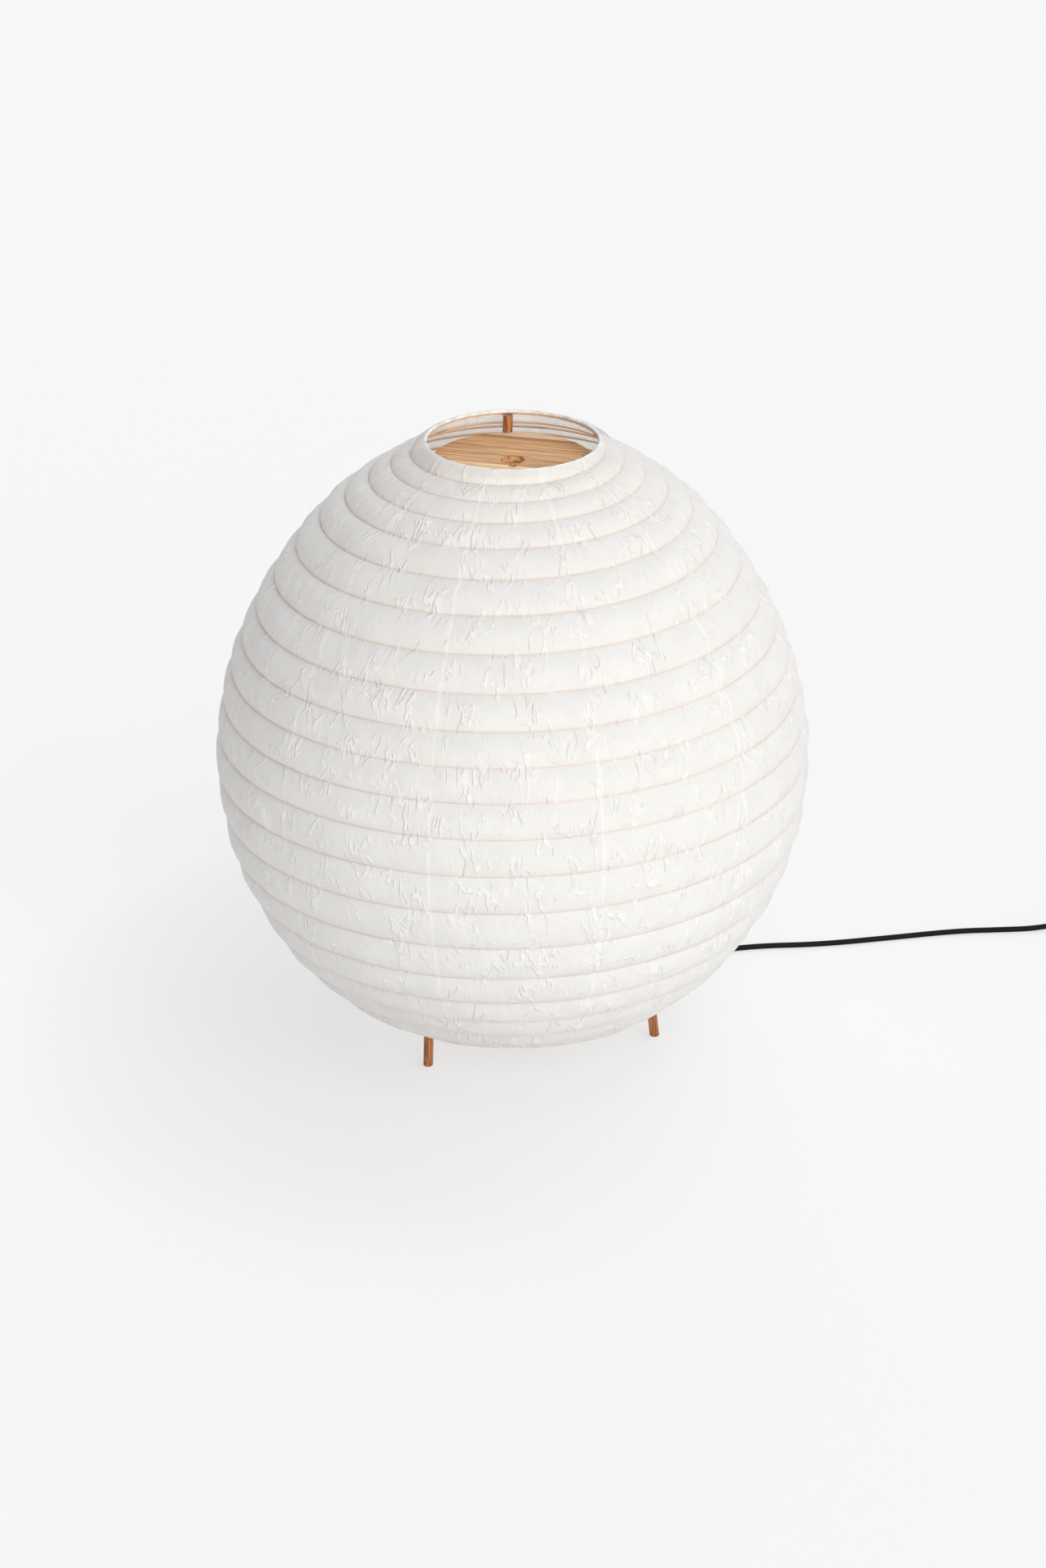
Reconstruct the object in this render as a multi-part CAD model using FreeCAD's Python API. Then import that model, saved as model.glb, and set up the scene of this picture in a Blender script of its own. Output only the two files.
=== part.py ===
import FreeCAD, Part
import math
import os

# A paper lantern that stands on the floor. Three slanted wooden dowels and two round wooden discs
# make a light frame. The shade hangs on the tops of the dowels: eleven gores of thin paper, glued
# over one bamboo strip that winds down from the top hoop to the bottom hoop in a single spiral.
# A tubular lamp stands on the lower disc, and its flex leaves under the shade.
#
# Millimetres. +Z is up, Z = 0 is the floor, the lantern's axis is X = Y = 0, and the front is -Y.

V = FreeCAD.Vector
UP = V(0, 0, 1)

# ---- the shade's outline -------------------------------------------------------------------
EQUATOR_HEIGHT = 320.0
EQUATOR_RADIUS = 300.0        # to the rib, in the valleys of the paper
UPPER_RISE, UPPER_FULLNESS = 345.0, 1.84
LOWER_DROP, LOWER_FULLNESS = 312.0, 2.02
RIM_RADIUS = 88.5             # paper at the top hoop
RIM_HEIGHT = EQUATOR_HEIGHT + 334.0
COLLAR_FOOT_HEIGHT = EQUATOR_HEIGHT + 321.5
MOUTH_RADIUS = 158.0          # paper at the bottom hoop

# ---- paper and bamboo ----------------------------------------------------------------------
GORES = 11
FIRST_SEAM = 254.2            # degrees, counter-clockwise from +X
FACETS_PER_GORE = 2
PAPER = 0.8
BULGE = 3.5                   # how far the paper swells out between two full turns of the rib
BAND_CHORDS = 2               # straight lengths that follow the swell of one band
TURN_SPACING = 40.7           # along the paper, far from the top
TURNS_SAVED = 2.29            # the turns lie closer near the top
CROWDING_TURNS = 5.0
HAND_WANDER = 4.95            # the strip is laid by hand and strays up and down
WANDER_PERIOD = 8.51
WANDER_PHASE = 5.95
RIB_START = 174.6             # where the strip leaves the top hoop, degrees
RIB_WIDTH, RIB_THICKNESS = 3.2, 1.6
GLUE_GAP = 0.15
LEAST_BAND = 7.0              # no narrower band of paper is drawn beside a hoop
HOOP_HEIGHT, HOOP_THICKNESS, HOOP_INSET = 2.8, 2.2, 1.0
TAPE = 0.4
HOOK_WIDTH, HOOK_DEPTH = 1.4, 4.0

# ---- frame ---------------------------------------------------------------------------------
LEG_RADIUS = 5.0
LEG_TOP = RIM_HEIGHT - 3.5
LEG_AZIMUTHS = {"back": 93.0, "left": 213.0, "right": 333.0}
LEG_TOP_CIRCLE = 83.0
FOOT_CIRCLE = 142.2
FOOT_TWIST = 12.8             # the dowels also lean round the axis
FOOT_SHIFT = V(11.0, 6.0, 0)
FOOT_ROUNDING = 0.8
SLOT_WIDTH, SLOT_DEPTH = 3.0, 5.0
UPPER_DISC_RADIUS, UPPER_DISC_THICKNESS = 81.5, 15.0
UPPER_DISC_TOP = RIM_HEIGHT - 21.5
FINGER_HOLE_RADIUS = 12.3
DRILLED_HOLE_RADIUS, DRILLED_HOLE_OFFSET = 4.2, -17.5
LOWER_DISC_RADIUS, LOWER_DISC_THICKNESS = 121.0, 12.0
LOWER_DISC_TOP = 202.0

# ---- lampholder and lamp -------------------------------------------------------------------
NIPPLE_RADIUS, NIPPLE_BORE = 5.0, 3.6
NIPPLE_BELOW, NIPPLE_ABOVE = 14.0, 9.0
NUT_WIDTH, NUT_HEIGHT = 14.0, 4.0
HOLDER_WALL = 2.0
DOME_RADIUS, DOME_HEIGHT, DOME_NECK = 20.0, 22.0, 8.5
SKIRT_RADIUS, SKIRT_HEIGHT, SKIRT_LAP = 22.2, 36.0, 6.0
BLOCK_HEIGHT, BLOCK_GAP = 9.0, 0.2
SHELL_RADIUS, SHELL_WALL, SHELL_HEIGHT = 14.2, 0.5, 24.0
CONTACT_WIDTH, CONTACT_HEIGHT = 8.0, 2.4
CAP_RADIUS, CAP_HEIGHT = 13.3, 22.0
TIP_RADIUS, TIP_HEIGHT, INSULATOR_HEIGHT = 5.0, 2.6, 2.5
LAMP_RADIUS, LAMP_LENGTH, LAMP_NECK, LAMP_ROUNDING = 18.5, 96.0, 16.0, 11.0
LAMP_RUNNING_GAP = 0.3

# ---- flex ----------------------------------------------------------------------------------
FLEX_RADIUS = 3.0
FLEX_REST = FLEX_RADIUS + 0.3
GRIP_LENGTH, GRIP_TOP_RADIUS, GRIP_END_RADIUS = 30.0, 8.0, 4.4
ENTRY = 10.0                  # height of the flex where it enters the switch
ROUTE_TO_SWITCH = [           # the first and last points follow from the grip and the switch
    (10, 6, 54), (25, 16, 18), (60, 42, FLEX_REST), (106, 82, FLEX_REST), (150, 122, FLEX_REST),
    (204, 160, FLEX_REST), (262, 177, FLEX_REST), (336, 181, FLEX_REST), (412, 197, FLEX_REST),
    (488, 214, FLEX_REST), (536, 217, FLEX_REST), (578, 220.5, FLEX_REST)]
SWITCH_AT = V(676, 231, 0)
SWITCH_HEADING = 5.0
SWITCH_LENGTH, SWITCH_WIDTH, SWITCH_HEIGHT = 62.0, 25.0, 18.0
SWITCH_NOSE, SWITCH_TAPER, SWITCH_EDGE, SWITCH_FOOT = 10.0, 11.0, 2.5, 0.2
ROCKER_RADIUS, ROCKER_WIDTH, ROCKER_TILT, ROCKER_GAP = 10.0, 11.0, 9.0, 0.3
PIVOT_HEIGHT, PIVOT_RADIUS, PIVOT_LENGTH = 12.0, 1.5, 1.6
COIL_CENTRE = V(800, 206, 0)
COIL_REST = FLEX_RADIUS + 1.2 # the strap lies under the coil
COIL_INNER_RADIUS = 32.7
COIL_STEP = 6.6               # from one turn to the next, and from layer to layer
COIL_TURNS_IN, COIL_TURNS_OUT = 1.0, 1.25
COIL_SIDES = 5
STRAP_WIDTH, STRAP_THICKNESS, STRAP_AZIMUTH = 9.0, 1.0, 180.0
PLUG_HEADING = 225.0
FLEX_SIDES = 8
PLUG_LENGTH, PLUG_WIDTH, PLUG_THICKNESS = 34.0, 35.0, 13.7
PLUG_AXIS_HEIGHT = PLUG_THICKNESS / 2 + 0.1
PIN_RADIUS, PIN_LENGTH, PIN_SPACING = 2.0, 19.0, 18.6


def unit(vector):
    """The vector at length one."""
    return vector.normalize()


def polar(radius, degrees, height=0.0):
    """A point at a radius and an azimuth."""
    angle = math.radians(degrees)
    return V(radius * math.cos(angle), radius * math.sin(angle), height)


def turned(points, sides=20):
    """A small turned piece about Z from (radius, height) points, with flats in place of curves."""
    faces = []
    for (r0, z0), (r1, z1) in zip(points, points[1:] + points[:1]):
        if r0 == r1 == 0:
            continue
        for i in range(sides):
            a, b = 360.0 * i / sides, 360.0 * (i + 1) / sides
            corners = [polar(r0, a, z0), polar(r1, a, z1), polar(r1, b, z1), polar(r0, b, z0)]
            corners = [c for k, c in enumerate(corners) if c.distanceToPoint(corners[k - 1]) > 1e-6]
            faces.append(Part.Face(Part.makePolygon(corners + [corners[0]])))
    return sewn(faces)


def sewn(faces):
    """The solid inside a closed set of faces."""
    shell = Part.makeShell(faces)
    shell.sewShape()
    solid = Part.makeSolid(shell)
    return solid if solid.Volume > 0 else solid.reversed()


def closed(points):
    return points + [points[0]]


def cylinder(radius, height, base):
    return Part.makeCylinder(radius, height, base)


# ---- outline of the shade, measured along the paper ----------------------------------------

def egg_radius(rise):
    """Radius of the valleys at a height above the equator."""
    reach, fullness = (UPPER_RISE, UPPER_FULLNESS) if rise >= 0 else (LOWER_DROP, LOWER_FULLNESS)
    return EQUATOR_RADIUS * (1 - (abs(rise) / reach) ** fullness) ** (1 / fullness)


def walk_outline(step=0.5):
    """Points (distance, radius, height) down the paper, from the top hoop to the bottom hoop."""
    points = [(0.0, RIM_RADIUS, RIM_HEIGHT)]
    rise = COLLAR_FOOT_HEIGHT - EQUATOR_HEIGHT
    while True:
        radius, height = egg_radius(rise), EQUATOR_HEIGHT + rise
        distance, last_radius, last_height = points[-1]
        distance += math.hypot(radius - last_radius, height - last_height)
        points.append((distance, radius, height))
        if rise < 0 and radius <= MOUTH_RADIUS:
            return points
        slope = (egg_radius(rise - 0.01) - radius) / 0.01
        rise -= step / math.hypot(1, slope)


OUTLINE = walk_outline()
PAPER_LENGTH = OUTLINE[-1][0]
MOUTH_HEIGHT = OUTLINE[-1][2]


def on_outline(distance, inset=0.0):
    """Radius and height at a distance down the paper, moved inward by inset."""
    index = next(i for i, point in enumerate(OUTLINE) if point[0] >= distance - 1e-9)
    index = max(index, 1)
    d0, r0, z0 = OUTLINE[index - 1]
    d1, r1, z1 = OUTLINE[index]
    share = (distance - d0) / (d1 - d0)
    dr, dz = (r1 - r0) / (d1 - d0), (z1 - z0) / (d1 - d0)
    radius, height = r0 + share * (r1 - r0), z0 + share * (z1 - z0)
    return radius + dz * inset, height - dr * inset


def rib_distance(turns):
    """How far down the paper the strip is after so many turns."""
    crowding = TURNS_SAVED * (1 - math.exp(-turns / CROWDING_TURNS))
    wander = (math.sin(2 * math.pi * (turns - WANDER_PHASE) / WANDER_PERIOD)
              + math.sin(2 * math.pi * WANDER_PHASE / WANDER_PERIOD))
    return TURN_SPACING * (turns - crowding) + HAND_WANDER * wander


def turns_before(azimuth):
    """Turns made, less a whole number, where the strip passes an azimuth."""
    return (RIB_START - azimuth) / 360.0 % 1.0


FACET = 360.0 / GORES / FACETS_PER_GORE
SECTIONS = [FIRST_SEAM + FACET * i for i in range(GORES * FACETS_PER_GORE)]


# ---- shade ---------------------------------------------------------------------------------

def triangle(a, b, c):
    return Part.Face(Part.makePolygon([a, b, c, a]))


def faceted(sections):
    """A solid of flat facets through closed sections that have the same number of corners."""
    faces = [Part.Face(Part.makePolygon(closed(sections[0]))),
             Part.Face(Part.makePolygon(closed(sections[-1])))]
    for near, far in zip(sections, sections[1:]):
        for i in range(len(near)):
            j = (i + 1) % len(near)
            faces += [triangle(near[i], near[j], far[j]), triangle(near[i], far[j], far[i])]
    return sewn(faces)


def gore_section(azimuth, start_turn, first, last):
    """The corners of one sheet of paper in the plane of an azimuth."""
    distances = [0.0]
    distances += [rib_distance(start_turn + k) for k in range(first, last + 1)]
    distances += [PAPER_LENGTH]
    valleys = [polar(r, azimuth, z) for r, z in map(on_outline, distances)]
    inner = [polar(r, azimuth, z) for r, z in (on_outline(d, PAPER) for d in distances)]
    outward = polar(1, azimuth)
    outer = [valleys[0]]
    for top, bottom in zip(valleys, valleys[1:]):
        chord = bottom - top
        normal = unit(UP * chord.dot(outward) - outward * chord.z)
        swell = BULGE * min(1.0, chord.Length / TURN_SPACING)
        for i in range(1, BAND_CHORDS):
            share = i / BAND_CHORDS
            outer.append(top + chord * share + normal * (swell * 4 * share * (1 - share)))
        outer.append(bottom)
    return outer + inner[::-1]


def paper_gore(number):
    """One gore: the swelling bands of paper between the turns of the strip."""
    start = FIRST_SEAM + number * FACET * FACETS_PER_GORE
    azimuths = [start + FACET * i for i in range(FACETS_PER_GORE + 1)]
    turns = [turns_before(start) - FACET * i / 360.0 for i in range(FACETS_PER_GORE + 1)]
    first = 0
    while rib_distance(turns[-1] + first) < LEAST_BAND:
        first += 1
    last = first
    while rib_distance(turns[0] + last + 1) < PAPER_LENGTH - LEAST_BAND:
        last += 1
    return faceted([gore_section(a, t, first, last) for a, t in zip(azimuths, turns)])


def rib_section(turns):
    """The corners of the strip's section, lying on the inside of the paper."""
    azimuth = RIB_START - 360.0 * turns
    distance = rib_distance(turns)
    radius, height = on_outline(distance, PAPER + GLUE_GAP)
    inner_radius, inner_height = on_outline(distance, PAPER + GLUE_GAP + RIB_THICKNESS)
    outer, inner = polar(radius, azimuth, height), polar(inner_radius, azimuth, inner_height)
    along = unit((inner - outer).cross(polar(1, azimuth + 90))) * (RIB_WIDTH / 2)
    return [outer + along, outer - along, inner - along, inner + along]


def bamboo_rib():
    """The spiral strip, straight from one section of the paper to the next, from seam to seam."""
    step = FACET / 360.0
    turns = turns_before(FIRST_SEAM) % (step * FACETS_PER_GORE)
    while rib_distance(turns) < LEAST_BAND:
        turns += step * FACETS_PER_GORE
    sections = [rib_section(turns)]
    while rib_distance(turns + step * FACETS_PER_GORE) < PAPER_LENGTH - LEAST_BAND:
        for _ in range(FACETS_PER_GORE):
            turns += step
            sections.append(rib_section(turns))
    centres = [(corners[0] + corners[2]) * 0.5 for corners in sections]
    per_turn = GORES * FACETS_PER_GORE
    gap = min(a.distanceToPoint(b) for a, b in zip(centres, centres[per_turn:]))
    print("rib: turns", round(len(sections) / per_turn, 1), "least gap", round(gap - RIB_WIDTH, 1))
    return faceted(sections)


def hoop(outer_radius, thickness, bottom, height):
    """A ring that follows the facets of the paper."""
    outer = Part.Face(Part.makePolygon(closed([polar(outer_radius, a, bottom) for a in SECTIONS])))
    inner = Part.Face(Part.makePolygon(
        closed([polar(outer_radius - thickness, a, bottom) for a in SECTIONS])))
    return outer.cut(inner).extrude(UP * height)


def shade_parts():
    """Gores, rib, hoops, hooks and the tape over the top hoop."""
    parts = {"paper_gore_%02d" % (i + 1): paper_gore(i) for i in range(GORES)}
    parts["bamboo_rib"] = bamboo_rib()
    top = RIM_HEIGHT - TAPE - HOOP_HEIGHT
    hooks = []
    for azimuth in LEG_AZIMUTHS.values():
        hook = Part.makeBox(HOOK_WIDTH, HOOK_WIDTH, HOOK_DEPTH + HOOP_HEIGHT / 2,
                            V(-HOOK_WIDTH / 2, -HOOK_WIDTH / 2, 0))
        hook.rotate(V(0, 0, 0), UP, azimuth)
        hook.translate(polar(LEG_TOP_CIRCLE + 2.7, azimuth, top - HOOK_DEPTH))
        hooks.append(hook)
    hooks = Part.makeCompound(hooks)
    outer = RIM_RADIUS - HOOP_INSET
    parts["top_hoop"] = hoop(outer, HOOP_THICKNESS, top, HOOP_HEIGHT).cut(hooks)
    parts["hoop_hooks"] = hooks
    cover = hoop(outer, HOOP_THICKNESS + TAPE, top, HOOP_HEIGHT + TAPE)
    parts["rim_tape"] = cover.cut(hoop(outer, HOOP_THICKNESS, top, HOOP_HEIGHT))
    parts["bottom_hoop"] = hoop(
        MOUTH_RADIUS - HOOP_INSET, HOOP_THICKNESS, MOUTH_HEIGHT + 0.6, HOOP_HEIGHT)
    return parts


# ---- frame ---------------------------------------------------------------------------------

def leg_ends(name):
    azimuth = LEG_AZIMUTHS[name]
    return (FOOT_SHIFT + polar(FOOT_CIRCLE, azimuth + FOOT_TWIST),
            polar(LEG_TOP_CIRCLE, azimuth, LEG_TOP))


def leg_rod(name, radius, beyond=20.0):
    foot, top = leg_ends(name)
    direction = unit(top - foot)
    base = foot - direction * beyond
    return Part.makeCylinder(radius, (top - foot).Length + 2 * beyond, base, direction)


def frame_centre(height):
    """The middle of the three legs at a height."""
    return FOOT_SHIFT * (1 - height / LEG_TOP) + UP * height


def leg(name):
    """A dowel, cut level at both ends, with a saw slot for the hook of the hoop in its top."""
    rod = leg_rod(name, LEG_RADIUS)
    room = 2000.0
    corner = V(-room / 2, -room / 2, 0)
    rod = rod.common(Part.makeBox(room, room, LEG_TOP, corner))
    foot_edges = [e for e in rod.Edges if e.BoundBox.ZMax < 0.1]
    rod = rod.makeChamfer(FOOT_ROUNDING, foot_edges)
    slot = Part.makeBox(2 * LEG_RADIUS, SLOT_WIDTH, SLOT_DEPTH + 1, V(0, -SLOT_WIDTH / 2, -SLOT_DEPTH))
    slot.rotate(V(0, 0, 0), UP, LEG_AZIMUTHS[name])
    slot.translate(leg_ends(name)[1])
    return rod.cut(slot)


def frame_parts():
    """Three legs, and the two discs that they are glued and screwed to."""
    parts = {"leg_" + name: leg(name) for name in LEG_AZIMUTHS}
    upper = cylinder(UPPER_DISC_RADIUS, UPPER_DISC_THICKNESS,
                     V(0, 0, UPPER_DISC_TOP - UPPER_DISC_THICKNESS))
    upper = upper.cut(cylinder(FINGER_HOLE_RADIUS, 1000, V(0, 0, 0)))
    upper = upper.cut(cylinder(DRILLED_HOLE_RADIUS, 1000, V(0, DRILLED_HOLE_OFFSET, 0)))
    centre = frame_centre(LOWER_DISC_TOP - LOWER_DISC_THICKNESS / 2)
    base = V(centre.x, centre.y, LOWER_DISC_TOP - LOWER_DISC_THICKNESS)
    lower = cylinder(LOWER_DISC_RADIUS, LOWER_DISC_THICKNESS, base)
    bore = turned([(0, 0), (NIPPLE_RADIUS, 0), (NIPPLE_RADIUS, LOWER_DISC_THICKNESS),
                   (0, LOWER_DISC_THICKNESS)])
    bore.translate(base)
    lower = lower.cut(bore)
    for name in LEG_AZIMUTHS:
        rod = leg_rod(name, LEG_RADIUS)
        upper, lower = upper.cut(rod), lower.cut(rod)
    parts["upper_disc"] = upper
    parts["lower_disc"] = lower
    return parts


# ---- lampholder and lamp -------------------------------------------------------------------

def holder_parts():
    """Everything on the threaded nipple, from the flex grip up to the lamp."""
    parts = {}
    top = LOWER_DISC_TOP
    under = top - LOWER_DISC_THICKNESS
    thread_end = under - NIPPLE_BELOW
    parts["nipple"] = turned([(NIPPLE_BORE, thread_end), (NIPPLE_RADIUS, thread_end),
                              (NIPPLE_RADIUS, top + NIPPLE_ABOVE), (NIPPLE_BORE, top + NIPPLE_ABOVE)])
    nut = turned([(0, under - NUT_HEIGHT), (NUT_WIDTH / math.sqrt(3), under - NUT_HEIGHT),
                  (NUT_WIDTH / math.sqrt(3), under), (0, under)], 6)
    bore = turned([(0, thread_end), (NIPPLE_RADIUS, thread_end), (NIPPLE_RADIUS, top), (0, top)])
    parts["nipple_nut"] = nut.cut(bore)
    grip_top = under - NUT_HEIGHT
    grip_end = grip_top - GRIP_LENGTH
    parts["flex_grip"] = turned([
        (NIPPLE_RADIUS, grip_top), (GRIP_TOP_RADIUS, grip_top), (GRIP_TOP_RADIUS, grip_top - 8),
        (GRIP_END_RADIUS + 0.8, grip_top - 9), (GRIP_END_RADIUS, grip_end), (0, grip_end),
        (0, thread_end), (NIPPLE_RADIUS, thread_end)])

    shoulder = top + DOME_HEIGHT
    inside = DOME_RADIUS - HOLDER_WALL
    parts["holder_dome"] = turned([
        (NIPPLE_RADIUS, top), (DOME_NECK, top), (DOME_RADIUS - 5, top + 4), (DOME_RADIUS, top + 12),
        (DOME_RADIUS, shoulder), (inside, shoulder), (inside, top + 12.5), (inside - 5, top + 5.5),
        (NIPPLE_RADIUS, top + 3)])
    lip = shoulder - SKIRT_LAP
    rim = lip + SKIRT_HEIGHT
    bore = SKIRT_RADIUS - HOLDER_WALL - 1
    parts["holder_skirt"] = turned([
        (DOME_RADIUS, lip), (SKIRT_RADIUS, lip), (SKIRT_RADIUS, rim - 2), (SKIRT_RADIUS - 1, rim),
        (bore, rim), (bore, shoulder), (DOME_RADIUS, shoulder)])
    seat = shoulder + 3
    parts["contact_block"] = turned([
        (0, shoulder - BLOCK_HEIGHT), (inside - BLOCK_GAP, shoulder - BLOCK_HEIGHT),
        (inside - BLOCK_GAP, shoulder), (bore - BLOCK_GAP, shoulder), (bore - BLOCK_GAP, seat), (0, seat)])
    parts["screw_shell"] = turned([
        (SHELL_RADIUS - SHELL_WALL, seat), (SHELL_RADIUS, seat), (SHELL_RADIUS, seat + SHELL_HEIGHT),
        (SHELL_RADIUS - SHELL_WALL, seat + SHELL_HEIGHT)])
    half = CONTACT_WIDTH / 2
    tongue = Part.makePolygon(closed([
        V(-half, 0, 0), V(half, 0, 0), V(half, 0, 0.6), V(-half + 2, 0, 0.9),
        V(half - 1, 0, CONTACT_HEIGHT), V(half - 1.8, 0, CONTACT_HEIGHT), V(-half, 0, 0.8)]))
    tongue = Part.Face(tongue).extrude(V(0, 5, 0))
    tongue.translate(V(0, -2.5, seat))
    parts["centre_contact"] = tongue

    tip = seat + CONTACT_HEIGHT + LAMP_RUNNING_GAP
    neck = tip + TIP_HEIGHT
    foot = neck + INSULATOR_HEIGHT
    cap_top = foot + CAP_HEIGHT
    crown = cap_top + LAMP_LENGTH
    parts["lamp_contact"] = turned([(0, tip), (TIP_RADIUS - 1, tip), (TIP_RADIUS, tip + 1),
                                    (TIP_RADIUS, neck), (0, neck)])
    parts["lamp_insulator"] = turned([(0, neck), (TIP_RADIUS, neck), (CAP_RADIUS - 1.5, foot), (0, foot)])
    parts["lamp_cap"] = turned([(0, foot), (CAP_RADIUS - 1.5, foot), (CAP_RADIUS, foot + 1.5),
                                (CAP_RADIUS, cap_top), (0, cap_top)])
    glass = [(0, cap_top), (CAP_RADIUS - 0.6, cap_top), (LAMP_RADIUS, cap_top + LAMP_NECK)]
    for i in range(4):
        turn = math.radians(30 * i)
        glass.append((LAMP_RADIUS - LAMP_ROUNDING * (1 - math.cos(turn)),
                      crown - LAMP_ROUNDING * (1 - math.sin(turn))))
    parts["lamp_tube"] = turned(glass + [(0, crown)])
    print("lamp: cap from", round(foot, 1), "to", round(cap_top, 1), "crown", round(crown, 1))
    axis = frame_centre(LOWER_DISC_TOP - LOWER_DISC_THICKNESS / 2)
    for shape in parts.values():
        shape.translate(V(axis.x, axis.y, 0))
    return parts, V(axis.x, axis.y, grip_end)


# ---- flex ----------------------------------------------------------------------------------

def rounded_path(points, name):
    """Straight runs joined by tangent arcs, each as large as its two runs allow."""
    points = [V(p) for p in points]
    edges = []
    here = points[0]
    radii = []
    for before, corner, after in zip(points, points[1:], points[2:]):
        into, out = corner - before, after - corner
        turn = into.getAngle(out)
        cut = 0.45 * min(into.Length, out.Length)
        radii.append(cut / math.tan(turn / 2))
        start = corner - unit(V(into)) * cut
        end = corner + unit(V(out)) * cut
        bisector = unit(unit(V(out)) - unit(V(into)))
        reach = radii[-1] / math.cos(turn / 2) - radii[-1]
        edges.append(Part.LineSegment(here, start).toShape())
        edges.append(Part.Arc(start, corner + bisector * reach, end).toShape())
        here = end
    edges.append(Part.LineSegment(here, points[-1]).toShape())
    path = Part.Wire(edges)
    print(name, "length", round(path.Length, 1), "radii", [round(r) for r in radii])
    return path


def swept(path, sides, radius):
    """A flex along a path, drawn with flat sides."""
    edge = path.OrderedEdges[0]
    start = edge.valueAt(edge.FirstParameter)
    heading = edge.tangentAt(edge.FirstParameter)
    side = unit(heading.cross(UP)) if abs(heading.z) < 0.9 else V(1, 0, 0)
    up = unit(side.cross(heading))
    corners = [start + side * (radius * math.cos(a)) + up * (radius * math.sin(a))
               for a in (2 * math.pi * (i + 0.5) / sides for i in range(sides))]
    return path.makePipeShell([Part.makePolygon(closed(corners))], True, False)


def flex(points, name):
    """A stretch of flex along a route, a little larger across its corners to hold its volume."""
    path = rounded_path(points, name)
    tube = swept(path, FLEX_SIDES, FLEX_RADIUS * 1.04)
    print(name, "volume", round(tube.Volume), "of", round(math.pi * FLEX_RADIUS ** 2 * path.Length))
    return tube


def tangent_arc(start, corner, end):
    """The arc that touches both legs of a corner."""
    chord_middle = (start + end) * 0.5
    half_turn = (corner - start).getAngle(end - corner) / 2
    reach = (corner - chord_middle).Length
    rise = reach * (1 - math.cos(half_turn)) / math.sin(half_turn) ** 2 * math.cos(half_turn)
    return Part.Arc(start, chord_middle + unit(corner - chord_middle) * rise, end).toShape()


def biarc(start, heading, end, far_heading):
    """Two arcs that leave start along heading and reach end along far_heading."""
    span = end - start
    both = heading + far_heading
    spread = 2 * (1 - heading.dot(far_heading))
    reach = (-span.dot(both) + math.sqrt(span.dot(both) ** 2 + spread * span.dot(span))) / spread
    corners = [start + heading * reach, end - far_heading * reach]
    middle = (corners[0] + corners[1]) * 0.5
    return [tangent_arc(start, corners[0], middle), tangent_arc(middle, corners[1], end)]


def coil_point(turns):
    """A point of the coil after so many turns, clockwise from its start at the back."""
    radius = COIL_INNER_RADIUS + COIL_STEP * abs(COIL_TURNS_IN - turns)
    climb = min(max((turns - COIL_TURNS_IN + 0.25) / 0.5, 0.0), 1.0)
    climb = climb * climb * (3 - 2 * climb)
    return COIL_CENTRE + polar(radius, 90 - 360 * turns, COIL_REST + COIL_STEP * climb)


def coil_heading(turns):
    if turns in (0, COIL_TURNS_IN + COIL_TURNS_OUT):
        return polar(1, -360 * turns)
    return unit(coil_point(turns + 0.001) - coil_point(turns - 0.001))


def coil():
    """The spare flex, wound in and out again in two layers, with the points where it starts and ends."""
    total = COIL_TURNS_IN + COIL_TURNS_OUT
    steps = [i * 0.25 for i in range(round(total * 4) + 1)]
    stub = 2 * FLEX_RADIUS
    first = coil_point(0) - coil_heading(0) * stub
    last = coil_point(total) + coil_heading(total) * stub
    edges = [Part.LineSegment(first, coil_point(0)).toShape()]
    for a, b in zip(steps, steps[1:]):
        edges += biarc(coil_point(a), coil_heading(a), coil_point(b), coil_heading(b))
    edges.append(Part.LineSegment(coil_point(total), last).toShape())
    path = Part.Wire(edges)
    samples = [coil_point(total * i / 600.0) for i in range(601)]
    far = int(600 * 0.6 / total)
    gap = min(samples[i].distanceToPoint(samples[j]) for i in range(601) for j in range(i + far, 601))
    print("coil length", round(path.Length, 1), "least gap to itself", round(gap - 2 * FLEX_RADIUS, 2))
    return swept(path, COIL_SIDES, FLEX_RADIUS), first, last


def strap():
    """A flat strap round the turns of the coil."""
    inner = COIL_INNER_RADIUS - 1.6
    outer = COIL_INNER_RADIUS + COIL_STEP * COIL_TURNS_OUT + 3.6
    low, high = COIL_REST - FLEX_RADIUS - 0.1, COIL_REST + COIL_STEP + FLEX_RADIUS + 0.1
    t = STRAP_THICKNESS
    block = Part.makeBox(outer - inner + 2 * t, STRAP_WIDTH, high - low + 2 * t,
                         V(inner - t, -STRAP_WIDTH / 2, low - t))
    room = Part.makeBox(outer - inner, STRAP_WIDTH, high - low, V(inner, -STRAP_WIDTH / 2, low))
    return placed(block.cut(room), COIL_CENTRE, STRAP_AZIMUTH)


def tapered_plate(bottom, height):
    """An upright plate, long and narrowed towards the flex at both ends."""
    end, side = SWITCH_LENGTH / 2, SWITCH_WIDTH / 2
    nose, shoulder = SWITCH_NOSE / 2, end - SWITCH_TAPER
    plan = [V(-end, -nose, bottom), V(-shoulder, -side, bottom), V(shoulder, -side, bottom),
            V(end, -nose, bottom), V(end, nose, bottom), V(shoulder, side, bottom),
            V(-shoulder, side, bottom), V(-end, nose, bottom)]
    return Part.Face(Part.makePolygon(closed(plan))).extrude(UP * height)


def placed(shape, at, heading):
    shape = shape.copy()
    shape.rotate(V(0, 0, 0), UP, heading)
    shape.translate(at)
    return shape


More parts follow.
